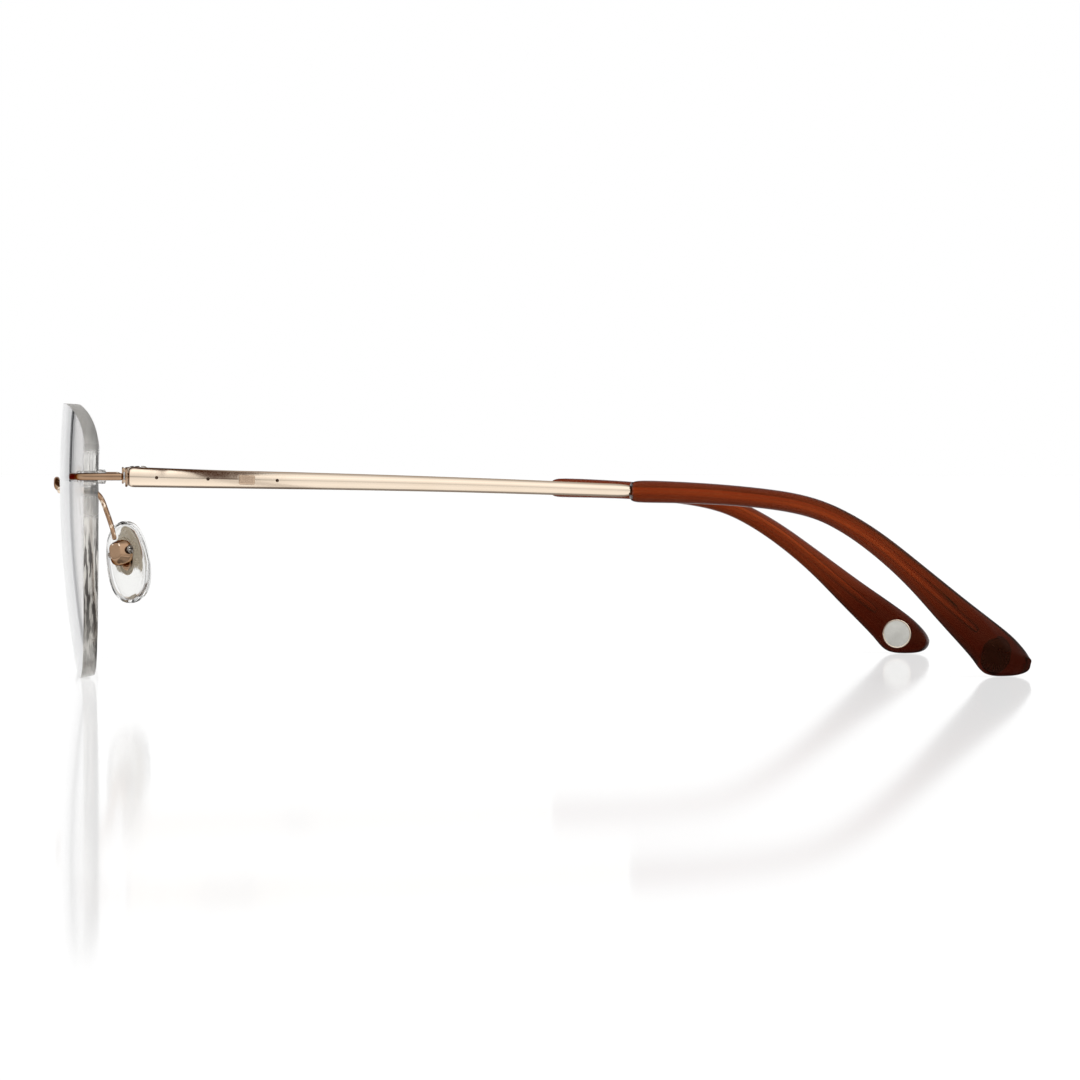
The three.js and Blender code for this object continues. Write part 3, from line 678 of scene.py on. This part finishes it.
def pair(name, mesh, materials, body, replaced, slotName, *stack, sharp=None):
    # the same piece on both sides; body and replaced are names without left_ or right_
    made = []
    slots = [min(face.material_index, len(materials) - 1) for face in mesh.polygons]
    mesh.materials.clear()
    for material in materials:
        mesh.materials.append(material)
    mesh.polygons.foreach_set("material_index", slots)
    for side in ("left", "right"):
        own = mesh if side == "left" else mesh.copy()
        if side == "right":
            own.transform(Matrix.Scale(-1, 4, (1, 0, 0)))
            outwards(own)
        own.shade_smooth()
        if sharp is not None:
            own.set_sharp_from_angle(angle=math.radians(sharp))
        piece = newPiece(f"{side}_{name}", own, *stack)
        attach(piece, body if body == "front" else f"{side}_{body}")
        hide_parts(*[f"{side}_{n}" for n in replaced])
        made.append(piece)
    return made


def moved(mesh, matrix):
    mesh.transform(matrix)
    return mesh


def turned(name, profile, steps=32):
    # profile of (radius, height) in millimetres from top to bottom, turned about Z at its own origin
    points = [(r * mm, 0, h * mm) for r, h in profile]
    piece = newPiece(name, meshFrom(name, points, [], [(i, i + 1) for i in range(len(points) - 1)]))
    screw = piece.modifiers.new("turn", "SCREW")
    screw.steps = screw.render_steps = steps
    screw.use_merge_vertices = True
    screw.merge_threshold = 0.00001
    applyStack(piece)
    return outwards(takeMesh(piece))


def arc(x, y, radius, angles):
    return [(x + radius * math.cos(a), y + radius * math.sin(a)) for a in angles]


def roundedOutline(halfWidth, halfHeight, corner, steps=5):
    points = []
    for quarter, (sx, sy) in enumerate(((1, 1), (-1, 1), (-1, -1), (1, -1))):
        angles = [math.pi / 2 * (quarter + i / steps) for i in range(steps + 1)]
        points += arc((halfWidth - corner) * sx, (halfHeight - corner) * sy, corner, angles)
    return points


def slabFrom(name, outline, low, high):
    # outline in millimetres in X and Y, from height low to height high
    count = len(outline)
    points = [(x * mm, y * mm, h * mm) for h in (low, high) for x, y in outline]
    faces = [(i, (i + 1) % count, (i + 1) % count + count, i + count) for i in range(count)]
    faces += [tuple(range(count)), tuple(range(count, 2 * count))]
    return outwards(meshFrom(name, points, faces))


def roundRod(name, radius, low, high, sides=32):
    return slabFrom(name, arc(0, 0, radius, [2 * math.pi * i / sides for i in range(sides)]), low, high)


# ---- lenses

lens = {
    "thickness": 2.1,
    "radius": 157.0,
    "middle": (35.0, 20.5),
    "frontY": -5.71,
    "wrap": 0.045,
    "tilt": 0.0524,
    "holeRadius": 0.85,
    "holes": (-1.25, 1.25),
    "edgeBevel": 0.16,
    "faceRings": 14,
}
nasalMount = (12.3, 28.0)
temporalMount = (58.9, 30.15)
sphereCentre = Vector((
    lens["middle"][0] - lens["wrap"] * lens["radius"],
    lens["frontY"] + lens["radius"] * (1 - (lens["wrap"] ** 2 + lens["tilt"] ** 2) / 2),
    lens["middle"][1] + lens["tilt"] * lens["radius"],
))


def lensFront(x, z):
    across = (x - sphereCentre.x) ** 2 + (z - sphereCentre.z) ** 2
    return Vector((x, sphereCentre.y - math.sqrt(lens["radius"] ** 2 - across), z))


def lensFrame(mount):
    # x outwards along the lens, z backwards through it, from its front face
    origin = lensFront(*mount)
    through = (sphereCentre - origin).normalized()
    across = (Vector((1, 0, 0)) - through * through.x).normalized()
    return framed(at(*origin), across, through.cross(across), through)


def bezier(a, b, c, d, steps):
    points = interpolate_bezier(*[Vector((*p, 0)) for p in (a, b, c, d)], steps + 1)
    return [(p.x, p.y) for p in points[:-1]]


def quadratic(a, b, c, steps):
    first = (mix(a[0], b[0], 2 / 3), mix(a[1], b[1], 2 / 3))
    second = (mix(c[0], b[0], 2 / 3), mix(c[1], b[1], 2 / 3))
    return bezier(a, first, second, c, steps)


def lensOutline():
    return (
        quadratic((23.5, 40.35), (35, 41.6), (44.5, 40.75), 14)
        + quadratic((44.5, 40.75), (59.4, 39.4), (62, 34.9), 16)
        + bezier((62, 34.9), (62, 32.3), (62, 29.8), (62, 27.2), 5)
        + bezier((62, 27.2), (61.6, 15.5), (53, 0), (38, 0), 28)
        + bezier((38, 0), (20, 0), (10.4, 15), (9, 27.2), 30)
        + bezier((9, 27.2), (8.87, 29.7), (8.73, 32.1), (8.6, 34.6), 5)
        + quadratic((8.6, 34.6), (12.4, 38.7), (23.5, 40.35), 12)
    )


def makeLenses():
    outline = lensOutline()
    count = len(outline)
    mx, mz = lens["middle"]
    points = [at(*lensFront(mx, mz))]
    for ring in range(1, lens["faceRings"] + 1):
        share = ring / lens["faceRings"]
        points += [at(*lensFront(mix(mx, x, share), mix(mz, z, share))) for x, z in outline]
    faces = [(0, 1 + (i + 1) % count, 1 + i) for i in range(count)]
    for ring in range(lens["faceRings"] - 1):
        near, far = 1 + ring * count, 1 + (ring + 1) * count
        for i in range(count):
            n = (i + 1) % count
            faces.append((near + i, near + n, far + n, far + i))
    blank = newPiece("lens_work", meshFrom("lens", points, faces))
    for material in (lensClear, lensEdge):
        blank.data.materials.append(material)
    if blank.data.polygons[count * 3].normal.y > 0:
        blank.data.flip_normals()
    wall = blank.modifiers.new("thickness", "SOLIDIFY")
    wall.thickness = lens["thickness"] * mm
    wall.offset = -1
    wall.material_offset_rim = 1
    applyStack(blank)
    drills = []
    for mount in (nasalMount, temporalMount):
        for x in lens["holes"]:
            drill = roundRod("drill", lens["holeRadius"], -1, lens["thickness"] + 1, 40)
            drill.materials.append(lensEdge)
            drills.append(newPiece("drill", moved(drill, lensFrame(mount) @ shifted(x))))
    made = pair("lens_blank", cut(blank, drills), [lensClear, lensEdge], "front", ["lens"], "lens",
                bevelled(lens["edgeBevel"], 2), sharp=30)
    for piece in made:
        piece.modifiers["edge"].material = 1


makeLenses()
print("lenses ready")


# ---- two-prong mounts: clear plugs, with the prongs of the bridge and the end pieces

plug = {
    "halfLength": 2.35,
    "halfWidth": 1.0,
    "corner": 0.95,
    "gap": 0.12,
    "thickness": 1.35,
    "sleeveRadius": 0.78,
    "boreRadius": 0.5,
    "edgeBevel": 0.14,
}
prong = {"radius": 0.45, "length": 3.8, "tip": 0.12}
# where the middle line of a bar in front of the lens lies, from the lens's front face
barLevel = -0.62


def makePlugs(label, mount):
    front = lens["thickness"] + plug["gap"]
    back = front + plug["thickness"]
    outline = roundedOutline(plug["halfLength"], plug["halfWidth"], plug["corner"], 8)
    plate = newPiece("plate", slabFrom("plug", outline, front, back))
    sleeves, bores = [], []
    for x in lens["holes"]:
        sleeve = roundRod("sleeve", plug["sleeveRadius"], 0.1, front + 0.3)
        sleeves.append(newPiece("sleeve", moved(sleeve, shifted(x))))
        bores.append(newPiece("bore", moved(roundRod("bore", plug["boreRadius"], -1, back + 1), shifted(x))))
    combined(plate, sleeves, "UNION")
    mesh = moved(cut(plate, bores), lensFrame(mount))
    pair(f"{label}_clear_plug", mesh, [mountPlastic], "front", [f"{label}_plug"], "plug",
         bevelled(plug["edgeBevel"], 3), sharp=30)


def prongMesh(mount, x):
    end = prong["length"]
    profile = [(0, end), (prong["radius"] - prong["tip"], end), (prong["radius"], end - prong["tip"]),
               (prong["radius"], barLevel), (0, barLevel)]
    return moved(turned("prong", profile, 24), lensFrame(mount) @ shifted(x))


def onMount(mount, x):
    # on the middle line of a bar in front of the lens
    return lensFrame(mount) @ (Vector((x, 0, barLevel)) * mm)


makePlugs("nasal", nasalMount)
makePlugs("temporal", temporalMount)
print("plugs ready")


# ---- bridge

bridge = {
    "line": [(0, -6.8, 29.3), (3.4, -6.75, 29.05), (6.6, -6.6, 28.5)],
    "halfWidth": 0.5,
    "middleHalfHeight": 0.75,
    "endHalfHeight": 0.55,
}


def makeBridge():
    half = [at(*p) for p in bridge["line"]] + [onMount(nasalMount, x) for x in (-2.4, 0, 2.3)]
    points = [Vector((-p.x, p.y, p.z)) for p in reversed(half[1:])] + half

    def size(share, centre):
        fromEnd = min(share, 1 - share)
        close = 0.72 if fromEnd < 0.004 else 1
        height = mix(bridge["endHalfHeight"], bridge["middleHalfHeight"], smooth(fromEnd, 0.25, 0.5))
        return bridge["halfWidth"] * close, height * close

    steps = [0, 0.006, 0.02] + evenly(20, 0.05, 0.95) + [0.98, 0.994, 1]
    mesh = loft("bridge_bar", barRings(points, steps, 10, 2.5, size))
    mesh.materials.append(champagneGold)
    mesh.shade_smooth()
    piece = newPiece("bridge_bar", mesh, subdivided(2))
    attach(piece, "front")
    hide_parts("bridge")
    for i, x in enumerate(lens["holes"]):
        made = pair(f"bridge_prong_{i + 1}", prongMesh(nasalMount, x), [roseGold], "front", [],
                    "champagne_gold", sharp=40)
        for piece in made:
            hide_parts("bridge")


makeBridge()
print("bridge ready")


# ---- end pieces and hinges

hinge = {
    "axis": (64.95, 5.8),
    "radius": 1.15,
    "holeRadius": 0.62,
    "lower": (28.85, 29.4),
    "middle": (29.47, 30.6),
    "upper": (30.67, 31.4),
    "edgeBevel": 0.12,
}
strap = {
    "level": 30.15,
    "bends": [(63.15, -2.75), (64.6, -1.3), (66.1, 0.9), (67.0, 3.4)],
    "halfWidth": 0.5,
    "halfHeight": 0.53,
}
collar = {
    "middle": (66.225, 30.11),
    "halfWidth": 2.375,
    "halfHeight": 1.43,
    "front": 3.62,
    "back": 3.95,
    "corner": 1.3,
    "edgeBevel": 0.15,
}


def earOutline():
    x, y = hinge["axis"]
    front = collar["back"] - 0.2
    ear = arc(x, y, hinge["radius"], evenly(14, -0.65, math.pi))
    return [(x + 0.85, front), (x + 0.85, y - 0.7), *ear, (x - hinge["radius"], front)]


def makeKnuckle(label, outline, body, replaced, slotName):
    drill = roundRod("drill", hinge["holeRadius"], hinge["lower"][0] - 1, hinge["upper"][1] + 1, 32)
    tool = newPiece("drill", moved(drill, shifted(*hinge["axis"])))
    mesh = cut(newPiece("knuckle_work", slabFrom("ear", outline, *hinge[label])), [tool])
    pair(f"knuckle_{label}", moved(mesh, Matrix.Translation(at(0, 0, 0))), [champagneGold], body, [replaced],
         slotName, bevelled(hinge["edgeBevel"], 3), sharp=30)


def makeEndPieces():
    points = [onMount(temporalMount, x) for x in (-2.3, 0, 2.3)]
    points += [at(x, y, strap["level"]) for x, y in strap["bends"]]

    def size(share, centre):
        close = 0.75 if share < 0.01 else 1
        return strap["halfWidth"] * close, strap["halfHeight"] * close

    bar = loft("strap", barRings(points, [0, 0.012, 0.04] + evenly(16, 0.08, 1), 10, 3.0, size))
    pair("end_strap", bar, [roseGold], "front", ["end_piece"], "rose_gold", subdivided(2))
    for i, x in enumerate(lens["holes"]):
        pair(f"end_prong_{i + 1}", prongMesh(temporalMount, x), [roseGold], "front", ["end_piece"],
             "rose_gold", sharp=40)
    outline = roundedOutline(collar["halfWidth"], collar["halfHeight"], collar["corner"], 8)
    block = slabFrom("collar", outline, -collar["back"], -collar["front"])
    block.transform(Matrix.Rotation(math.pi / 2, 4, "X"))
    x, z = collar["middle"]
    pair("end_collar", moved(block, Matrix.Translation(at(x, 0, z))), [roseGold], "front", ["end_piece"],
         "rose_gold", bevelled(collar["edgeBevel"], 4), sharp=30)
    for label in ("lower", "upper"):
        makeKnuckle(label, earOutline(), "front", "end_piece", "rose_gold")


def slotted(mesh, width, depth, top, reach=1.4):
    # screwdriver slot across a head whose top is at this height
    half = width / 2
    outline = [(-reach, -half), (reach, -half), (reach, half), (-reach, half)]
    tool = newPiece("slot", slabFrom("slot", outline, top - depth, top + 1))
    return cut(newPiece("head", mesh), [tool])


def makeHingeScrews():
    top, bottom = hinge["upper"][1], hinge["lower"][0]
    profile = [(0, top + 0.3), (0.55, top + 0.29), (0.78, top + 0.24), (0.92, top + 0.14), (0.95, top + 0.03),
               (0.55, top + 0.03), (0.55, bottom), (0.45, bottom - 0.15), (0, bottom - 0.15)]
    head = slotted(turned("screw", profile, 40), 0.24, 0.16, top + 0.3)
    pair("screw_body", moved(head, Matrix.Translation(at(*hinge["axis"], 0))), [screwSteel], "front",
         ["hinge_screw"], "screw_steel", bevelled(0.03, 2), sharp=30)


makeEndPieces()
makeHingeScrews()
print("end pieces and hinges ready")


# ---- temples

temple = {
    "line": [(67.4, 4.05, 30.12), (67.95, 20, 29.72), (67.9, 35, 29.42), (66.2, 54, 28.9),
             (62.5, 77.8, 28.05)],
    "halfHeights": [(4.05, 1.46), (20, 1.27), (48, 1.1), (77.8, 0.95)],
    "halfWidth": 1.15,
    "taper": 0.78,
    "waist": {"place": 9.6, "depth": 0.012, "length": 0.9},
    "domeLength": 0.7,
    "pins": [4.1, 11.45, 21.35],
    "pinRadius": 0.24,
}
inlay = {
    "along": 17.0,
    "halfWidth": 1.125,
    "halfHeight": 0.675,
    "corner": 0.25,
    "proud": 0.12,
    "depth": 0.5,
    "groove": 0.03,
}
templeEnd = temple["line"][-1][1]


def templeHalfHeight(y):
    stops = temple["halfHeights"]
    for (y0, h0), (y1, h1) in zip(stops, stops[1:]):
        if y <= y1:
            return mix(h0, h1, max(y - y0, 0) / (y1 - y0))
    return stops[-1][1]


def templeSize(share, centre):
    # the front end is domed; share isn't needed, as the place alone decides
    y = (centre.y - datumY) / mm
    fromFront = max(y - temple["line"][0][1], 0)
    dome = 1.0
    if fromFront < temple["domeLength"]:
        dome = 0.62 + 0.38 * math.sqrt(max(1 - (1 - fromFront / temple["domeLength"]) ** 2, 0))
    narrow = temple["waist"]
    waist = 1 - narrow["depth"] * math.exp(-((y - narrow["place"]) / narrow["length"]) ** 2)
    taper = mix(1, temple["taper"], smooth(y, 12, templeEnd))
    return temple["halfWidth"] * dome * waist * taper, templeHalfHeight(y) * dome


def templeFrame(along):
    # x along the temple, y upright, z outwards from its outer face
    points = [at(*p) for p in temple["line"]]
    spots = curveThrough(points, evenly(40))
    total = sum((b[0] - a[0]).length for a, b in zip(spots, spots[1:]))
    centre, direction = curveThrough(points, [along * mm / total])[0]
    out = direction.cross(Vector((0, 0, 1))).normalized()
    return framed(centre + out * templeSize(0, centre)[0] * mm, direction, out.cross(direction), out)


def makeTemples():
    points = [at(*p) for p in temple["line"]]
    # close together round the domed end and the waist
    steps = [0, 0.0015, 0.004, 0.0075, 0.012, 0.03, 0.055, 0.066, 0.075, 0.084, 0.095] + evenly(16, 0.13, 1)
    arm = newPiece("arm", loft("arm", barRings(points, steps, 12, 2.0, templeSize)), subdivided(2))
    applyStack(arm)
    halfWidth, halfHeight = inlay["halfWidth"], inlay["halfHeight"]
    corner, groove = inlay["corner"], inlay["groove"]
    outline = roundedOutline(halfWidth + groove, halfHeight + groove, corner + groove, 4)
    pocket = slabFrom("pocket", outline, -inlay["depth"], 1)
    tools = [newPiece("pocket", moved(pocket, templeFrame(inlay["along"])))]
    pit = temple["pinRadius"]
    for place in temple["pins"]:
        dimple = turned("dimple", [(0, 0.6), (pit, 0.6), (pit, -0.12), (0, -0.3)], 24)
        tools.append(newPiece("dimple", moved(dimple, templeFrame(place))))
    pair("temple_arm_bar", cut(arm, tools), [champagneGold], "temple_arm", ["temple"], "champagne_gold",
         sharp=40)
    x, y = hinge["axis"]
    outline = [(x + 1.9, y - 1.1), (x + 1.9, y + 1.1), (x, y + hinge["radius"])]
    outline += arc(x, y, hinge["radius"], evenly(14, math.pi / 2, math.pi * 1.5)[1:])
    makeKnuckle("middle", outline, "temple_arm", "temple", "champagne_gold")
    outline = roundedOutline(halfWidth, halfHeight, corner, 5)
    plate = slabFrom("plate", outline, -inlay["depth"], inlay["proud"])
    pair("inlay_plate", moved(plate, templeFrame(inlay["along"])), [plateGold], "temple_arm",
         ["temple_inlay"], "pale_gold", bevelled(0.14, 4), sharp=30)
    # the dark pins sit in the dimples as painted shade
    for i, place in enumerate(temple["pins"]):
        profile = [(0, -0.02), (0.12, -0.04), (0.2, -0.1), (pit, -0.18), (pit, -0.4), (0, -0.4)]
        pin = moved(turned("pin", profile, 24), templeFrame(place))
        pair(f"temple_pin_{i + 1}", pin, [pitShade], "temple_arm", ["temple"], "champagne_gold", sharp=40)


makeTemples()
print("temples ready")


# ---- temple tips, with the core wire inside and a disc on the inner face

tipShape = {
    "upper": [(77.15, 29.55), (80, 29.6), (92, 28.95), (103.5, 27.5), (109.8, 25.15), (115.8, 21.6),
              (122.3, 16.75), (128.9, 11.75), (132.4, 9.25), (135.1, 7.3), (136.8, 5.95), (138.1, 4.6),
              (138.85, 3.6), (139.25, 2.75), (139.4, 2.0)],
    "lower": [(77.15, 26.35), (80, 26.3), (91.5, 26.0), (102, 24.75), (107.3, 23.1), (113.2, 19.5),
              (119.6, 14.2), (125.3, 8.1), (130.4, 2.8), (131.8, 0.95), (133.2, 0.15), (136.0, 0.03),
              (137.7, 0.18), (138.7, 0.62), (139.3, 1.5)],
    "thickness": (1.42, 1.62),
    "ridge": [(0.0, 0.45), (0.55, 0.55), (0.59, 0.48), (0.64, 0.36), (0.69, 0.24), (0.77, 0.29), (0.82, 0.45),
              (0.91, 0.66), (1.0, 0.7)],
    "facetDrop": 0.62,
    "facetFrom": (0.5, 0.62),
    "start": 62.5,
    "lean": 0.19,
    "bow": 0.00172,
}
core = {
    "line": [(76.3, 28.1), (84, 27.95), (91.75, 27.5), (102.75, 26.1), (108.25, 24.3), (114.65, 20.6),
             (121, 15.5), (127, 10.3), (131, 7.0)],
    "halfWidth": 0.45,
    "halfHeight": 0.6,
}
disc = {"along": 134.6, "height": 3.35, "radius": 2.42, "depth": 0.3, "rim": 0.2, "proud": 0.12}


def tipX(y):
    # the tips lean inwards, more and more towards their ends
    back = y - templeEnd
    return tipShape["start"] - tipShape["lean"] * back - tipShape["bow"] * back ** 2


def tipSlope(y):
    return tipShape["lean"] + 2 * tipShape["bow"] * max(y - templeEnd, 0)


def between(stops, share):
    for (a, low), (b, high) in zip(stops, stops[1:]):
        if share <= b:
            return mix(low, high, smooth(share, a, b))
    return stops[-1][1]


def tipSection(share, power):
    # (outward, upward) places round the tip; the outer face has a facet above its ridge
    ridge = between(tipShape["ridge"], share)
    drop = tipShape["facetDrop"] * smooth(share, *tipShape["facetFrom"])

    def depth(v):
        return max(1 - abs(v) ** power, 0) ** (1 / power)

    outer = [-1, -0.9, -0.66, -0.3, mix(-0.3, ridge, 0.6), ridge, mix(ridge, 1, 0.5), mix(ridge, 1, 0.86)]
    inner = [1, 0.9, 0.66, 0.33, 0, -0.33, -0.66, -0.9]
    places = [(min(depth(v), depth(ridge) - drop * max(v - ridge, 0) / (1 - ridge)), v) for v in outer]
    return places + [(-depth(v), v) for v in inner]


def makeTips():
    # closer together at both ends, which are rounded
    steps = [0, 0.004, 0.012, 0.025, 0.045] + evenly(20, 0.08, 0.9) + [0.93, 0.955, 0.975, 0.99, 1]
    # both edges are sampled by the same share of their spans, so their stations face each other
    upper, lower = [spanPlaces([(0, *p) for p in tipShape[edge]], steps) for edge in ("upper", "lower")]
    sides, ridgeSide = 16, 5
    swell = cageSwell(sides)
    rings = []
    for share, top, under in zip(steps, upper, lower):
        y, z = ((top + under) / 2).yz
        start = mix(0.72, 1, math.sqrt(max(1 - (1 - min(share / 0.045, 1)) ** 2, 0)))
        end = math.sqrt(max(1 - max((share - 0.9) / 0.104, 0) ** 2, 0))
        thick = mix(*tipShape["thickness"], smooth(share, 0.55, 0.85)) * start * end * swell * mm
        out = Vector((1, tipSlope(y), 0)).normalized()
        upwards = (top - under) / 2 * start * swell * mm
        places = tipSection(share, mix(2.3, 3.0, smooth(share, 0.5, 0.8)))
        rings.append([at(tipX(y), y, z) + out * thick * u + upwards * v for u, v in places])
    mesh = loft("tip", rings)
    crease = mesh.attributes.new("crease_edge", "FLOAT", "EDGE")
    for edge in mesh.edges:
        a, b = edge.vertices
        share = steps[min(a, b) // sides]
        if a % sides == b % sides == ridgeSide:
            crease.data[edge.index].value = 0.85 * smooth(share, 0.5, 0.62)
    tipPiece = applyStack(newPiece("tip_work", mesh, subdivided(2)))
    pocket = roundRod("pocket", disc["radius"] + 0.03, -disc["depth"], 2, 64)
    sleeve = cut(tipPiece, [newPiece("pocket", moved(pocket, discFrame()))])
    pair("tip_sleeve", sleeve, [brownAcetate], "temple_arm", ["temple_tip"], "brown_acetate", sharp=38)
    points = [at(tipX(y), y, z) for y, z in core["line"]]

    def size(share, centre):
        close = 0.7 if share > 0.995 else 1
        return core["halfWidth"] * close, core["halfHeight"] * close

    wire = loft("core", barRings(points, evenly(22)[:-1] + [0.985, 0.996, 1], 8, 2.0, size))
    pair("tip_core", wire, [coreMetal], "temple_arm", ["temple"], "champagne_gold", subdivided(2))


def discFrame():
    # z points inwards from the tip's inner face
    y, z = disc["along"], disc["height"]
    out = Vector((1, tipSlope(y), 0)).normalized()
    upright = Vector((0, 0, 1))
    centre = at(tipX(y), y, z) - out * tipShape["thickness"][1] * mm
    return framed(centre, upright.cross(-out), upright, -out)


def makeDiscs():
    radius, proud, low = disc["radius"], disc["proud"], -disc["depth"]
    inner = radius - disc["rim"]
    face = [(0, proud), (inner - 0.1, proud), (inner, proud - 0.05), (inner, low), (0, low)]
    ring = [(inner, proud + 0.03), (inner + 0.08, proud + 0.08), (radius - 0.08, proud + 0.08),
            (radius, proud), (radius, low), (inner, low), (inner, proud + 0.03)]
    parts = (("enamel", face, paleEnamel, 30), ("rim", ring, champagneGold, 40))
    for label, profile, material, sharp in parts:
        mesh = moved(turned(label, profile, 64), discFrame())
        pair(f"disc_{label}", mesh, [material], "temple_arm", ["tip_disc"], "pale_enamel", sharp=sharp)


makeTips()
makeDiscs()
print("tips ready")


# ---- nose pads

pad = {
    "pivot": (11.9, 2.95, 18.3),
    "splay": -32,
    "lean": -8,
    "roll": 14.4,
    "layers": [(-1.8, 0.8), (-1.95, 0.92), (-2.5, 1.0), (-3.1, 0.97), (-3.7, 0.85), (-4.05, 0.6),
               (-4.2, 0.25)],
    "armLine": [(7.1, -5.62, 28.3), (7.0, -3.6, 28.2), (7.2, -1.7, 28.0), (8.1, -0.1, 27.0),
                (9.8, 1.0, 24.5)],
    "armEnd": [(1.0, 0, 3.2), (0.85, 0, 1.85)],
    "wireRadius": 0.36,
    "screwRadius": 0.4,
    "headRadius": 0.72,
}
# place along the pad's axis, half width and half height of each ring; the cup's have a squareness too
padLayers = {
    "plate": [(-2.05, 1.25, 2.9), (-2.0, 1.4, 3.05), (-1.62, 1.4, 3.05), (-1.56, 1.27, 2.92)],
    "lobe": [(-1.6, 0.9, 2.2), (-1.54, 0.9, 2.2), (-1.48, 0.84, 2.1), (-1.46, 0.6, 1.8)],
    "boss": [(-1.65, 0.65, 0.95), (-1.6, 0.65, 0.95), (0.2, 0.65, 0.95), (0.5, 0.62, 0.7), (0.6, 0.4, 0.45)],
    "cup": [(-1.0, 1.7, 1.8, 2.8), (-0.95, 1.85, 1.95, 2.8), (-0.1, 1.85, 1.95, 2.8), (0.0, 1.78, 1.9, 2.8),
            (1.12, 1.12, 1.42, 3.2), (1.22, 1.02, 1.32, 3.2), (1.34, 0.96, 1.24, 3.2), (1.35, 0.6, 0.9, 3.2)],
}


def padFrame():
    # x away from the nose, y backwards across the pad, z up along it
    turns = [Matrix.Rotation(math.radians(pad[k]), 4, axis) for k, axis in
             (("splay", "Z"), ("lean", "Y"), ("roll", "X"))]
    return Matrix.Translation(at(*pad["pivot"])) @ turns[0] @ turns[1] @ turns[2]


def padRing(x, halfWidth, halfHeight, sides, power, level=0.0):
    swell = cageSwell(sides)
    return sectionRing(Vector((x, 0, level)) * mm, Vector((0, halfWidth * swell, 0)) * mm,
                       Vector((0, 0, halfHeight * swell)) * mm, sides, power)


def padLoop(x, share, sides=24):
    swell = cageSwell(sides)
    points = []
    for i in range(sides):
        angle = 2 * math.pi * i / sides
        up = math.sin(angle)
        halfWidth = (3.8 - 0.15 * up + 0.95 * up ** 2) * share
        halfLength = 6.5 - (1 - share) * 4.1
        across = halfWidth * math.cos(angle) * swell - 0.2
        points.append(Vector((x, across, halfLength * up * swell - 1.24)) * mm)
    return points


def makePads():
    place = padFrame()
    soft = loft("pad", [padLoop(x, share) for x, share in pad["layers"]])
    pair("pad_silicone", moved(soft, place), [padSilicone], "pad", ["nose_pad"], "pad_clear", subdivided(2))
    inserts = (("plate", 16, 2.2, -0.35, padCore), ("lobe", 16, 2.2, -0.5, roseGold),
               ("boss", 12, 3.4, 0.0, roseGold))
    for label, sides, power, level, material in inserts:
        mesh = loft(label, [padRing(x, w, h, sides, power, level) for x, w, h in padLayers[label]])
        pair(f"pad_{label}", moved(mesh, place), [material], "pad", ["pad_insert"], "rose_gold",
             subdivided(2))
    cup = loft("cup", [padRing(x, w, h, 16, power) for x, w, h, power in padLayers["cup"]])
    cup = applyStack(newPiece("cup", cup, subdivided(2)))
    hollow = slabFrom("hollow", roundedOutline(0.975, 0.8, 0.2, 3), -1.3, 1.3)
    cup = cut(cup, [newPiece("hollow", moved(hollow, shifted(-0.22)))])
    pair("pad_cup", moved(cup, place), [roseGold], "front", ["pad_box"], "rose_gold", sharp=40)
    along = Matrix.Rotation(-math.pi / 2, 4, "X")
    head, shank = pad["headRadius"], pad["screwRadius"]
    profile = [(0, 2.3), (head - 0.2, 2.29), (head - 0.05, 2.2), (head, 2.08), (head, 1.92), (shank, 1.92),
               (shank, -1.85), (shank - 0.08, -1.93), (0, -1.93)]
    bolt = slotted(turned("bolt", profile, 36), 0.2, 0.16, 2.3)
    pair("pad_bolt", moved(bolt, place @ along), [screwSteel], "front", ["pad_screw"], "screw_steel",
         bevelled(0.025, 2), sharp=30)
    points = [at(*p) for p in pad["armLine"]] + [place @ (Vector(p) * mm) for p in pad["armEnd"]]
    wire = loft("wire", barRings(points, evenly(24), 8, 2.0, lambda share, centre: (pad["wireRadius"],) * 2))
    pair("pad_wire", wire, [roseGold], "front", ["pad_arm"], "rose_gold", subdivided(2))


makePads()
print("nose pads ready")
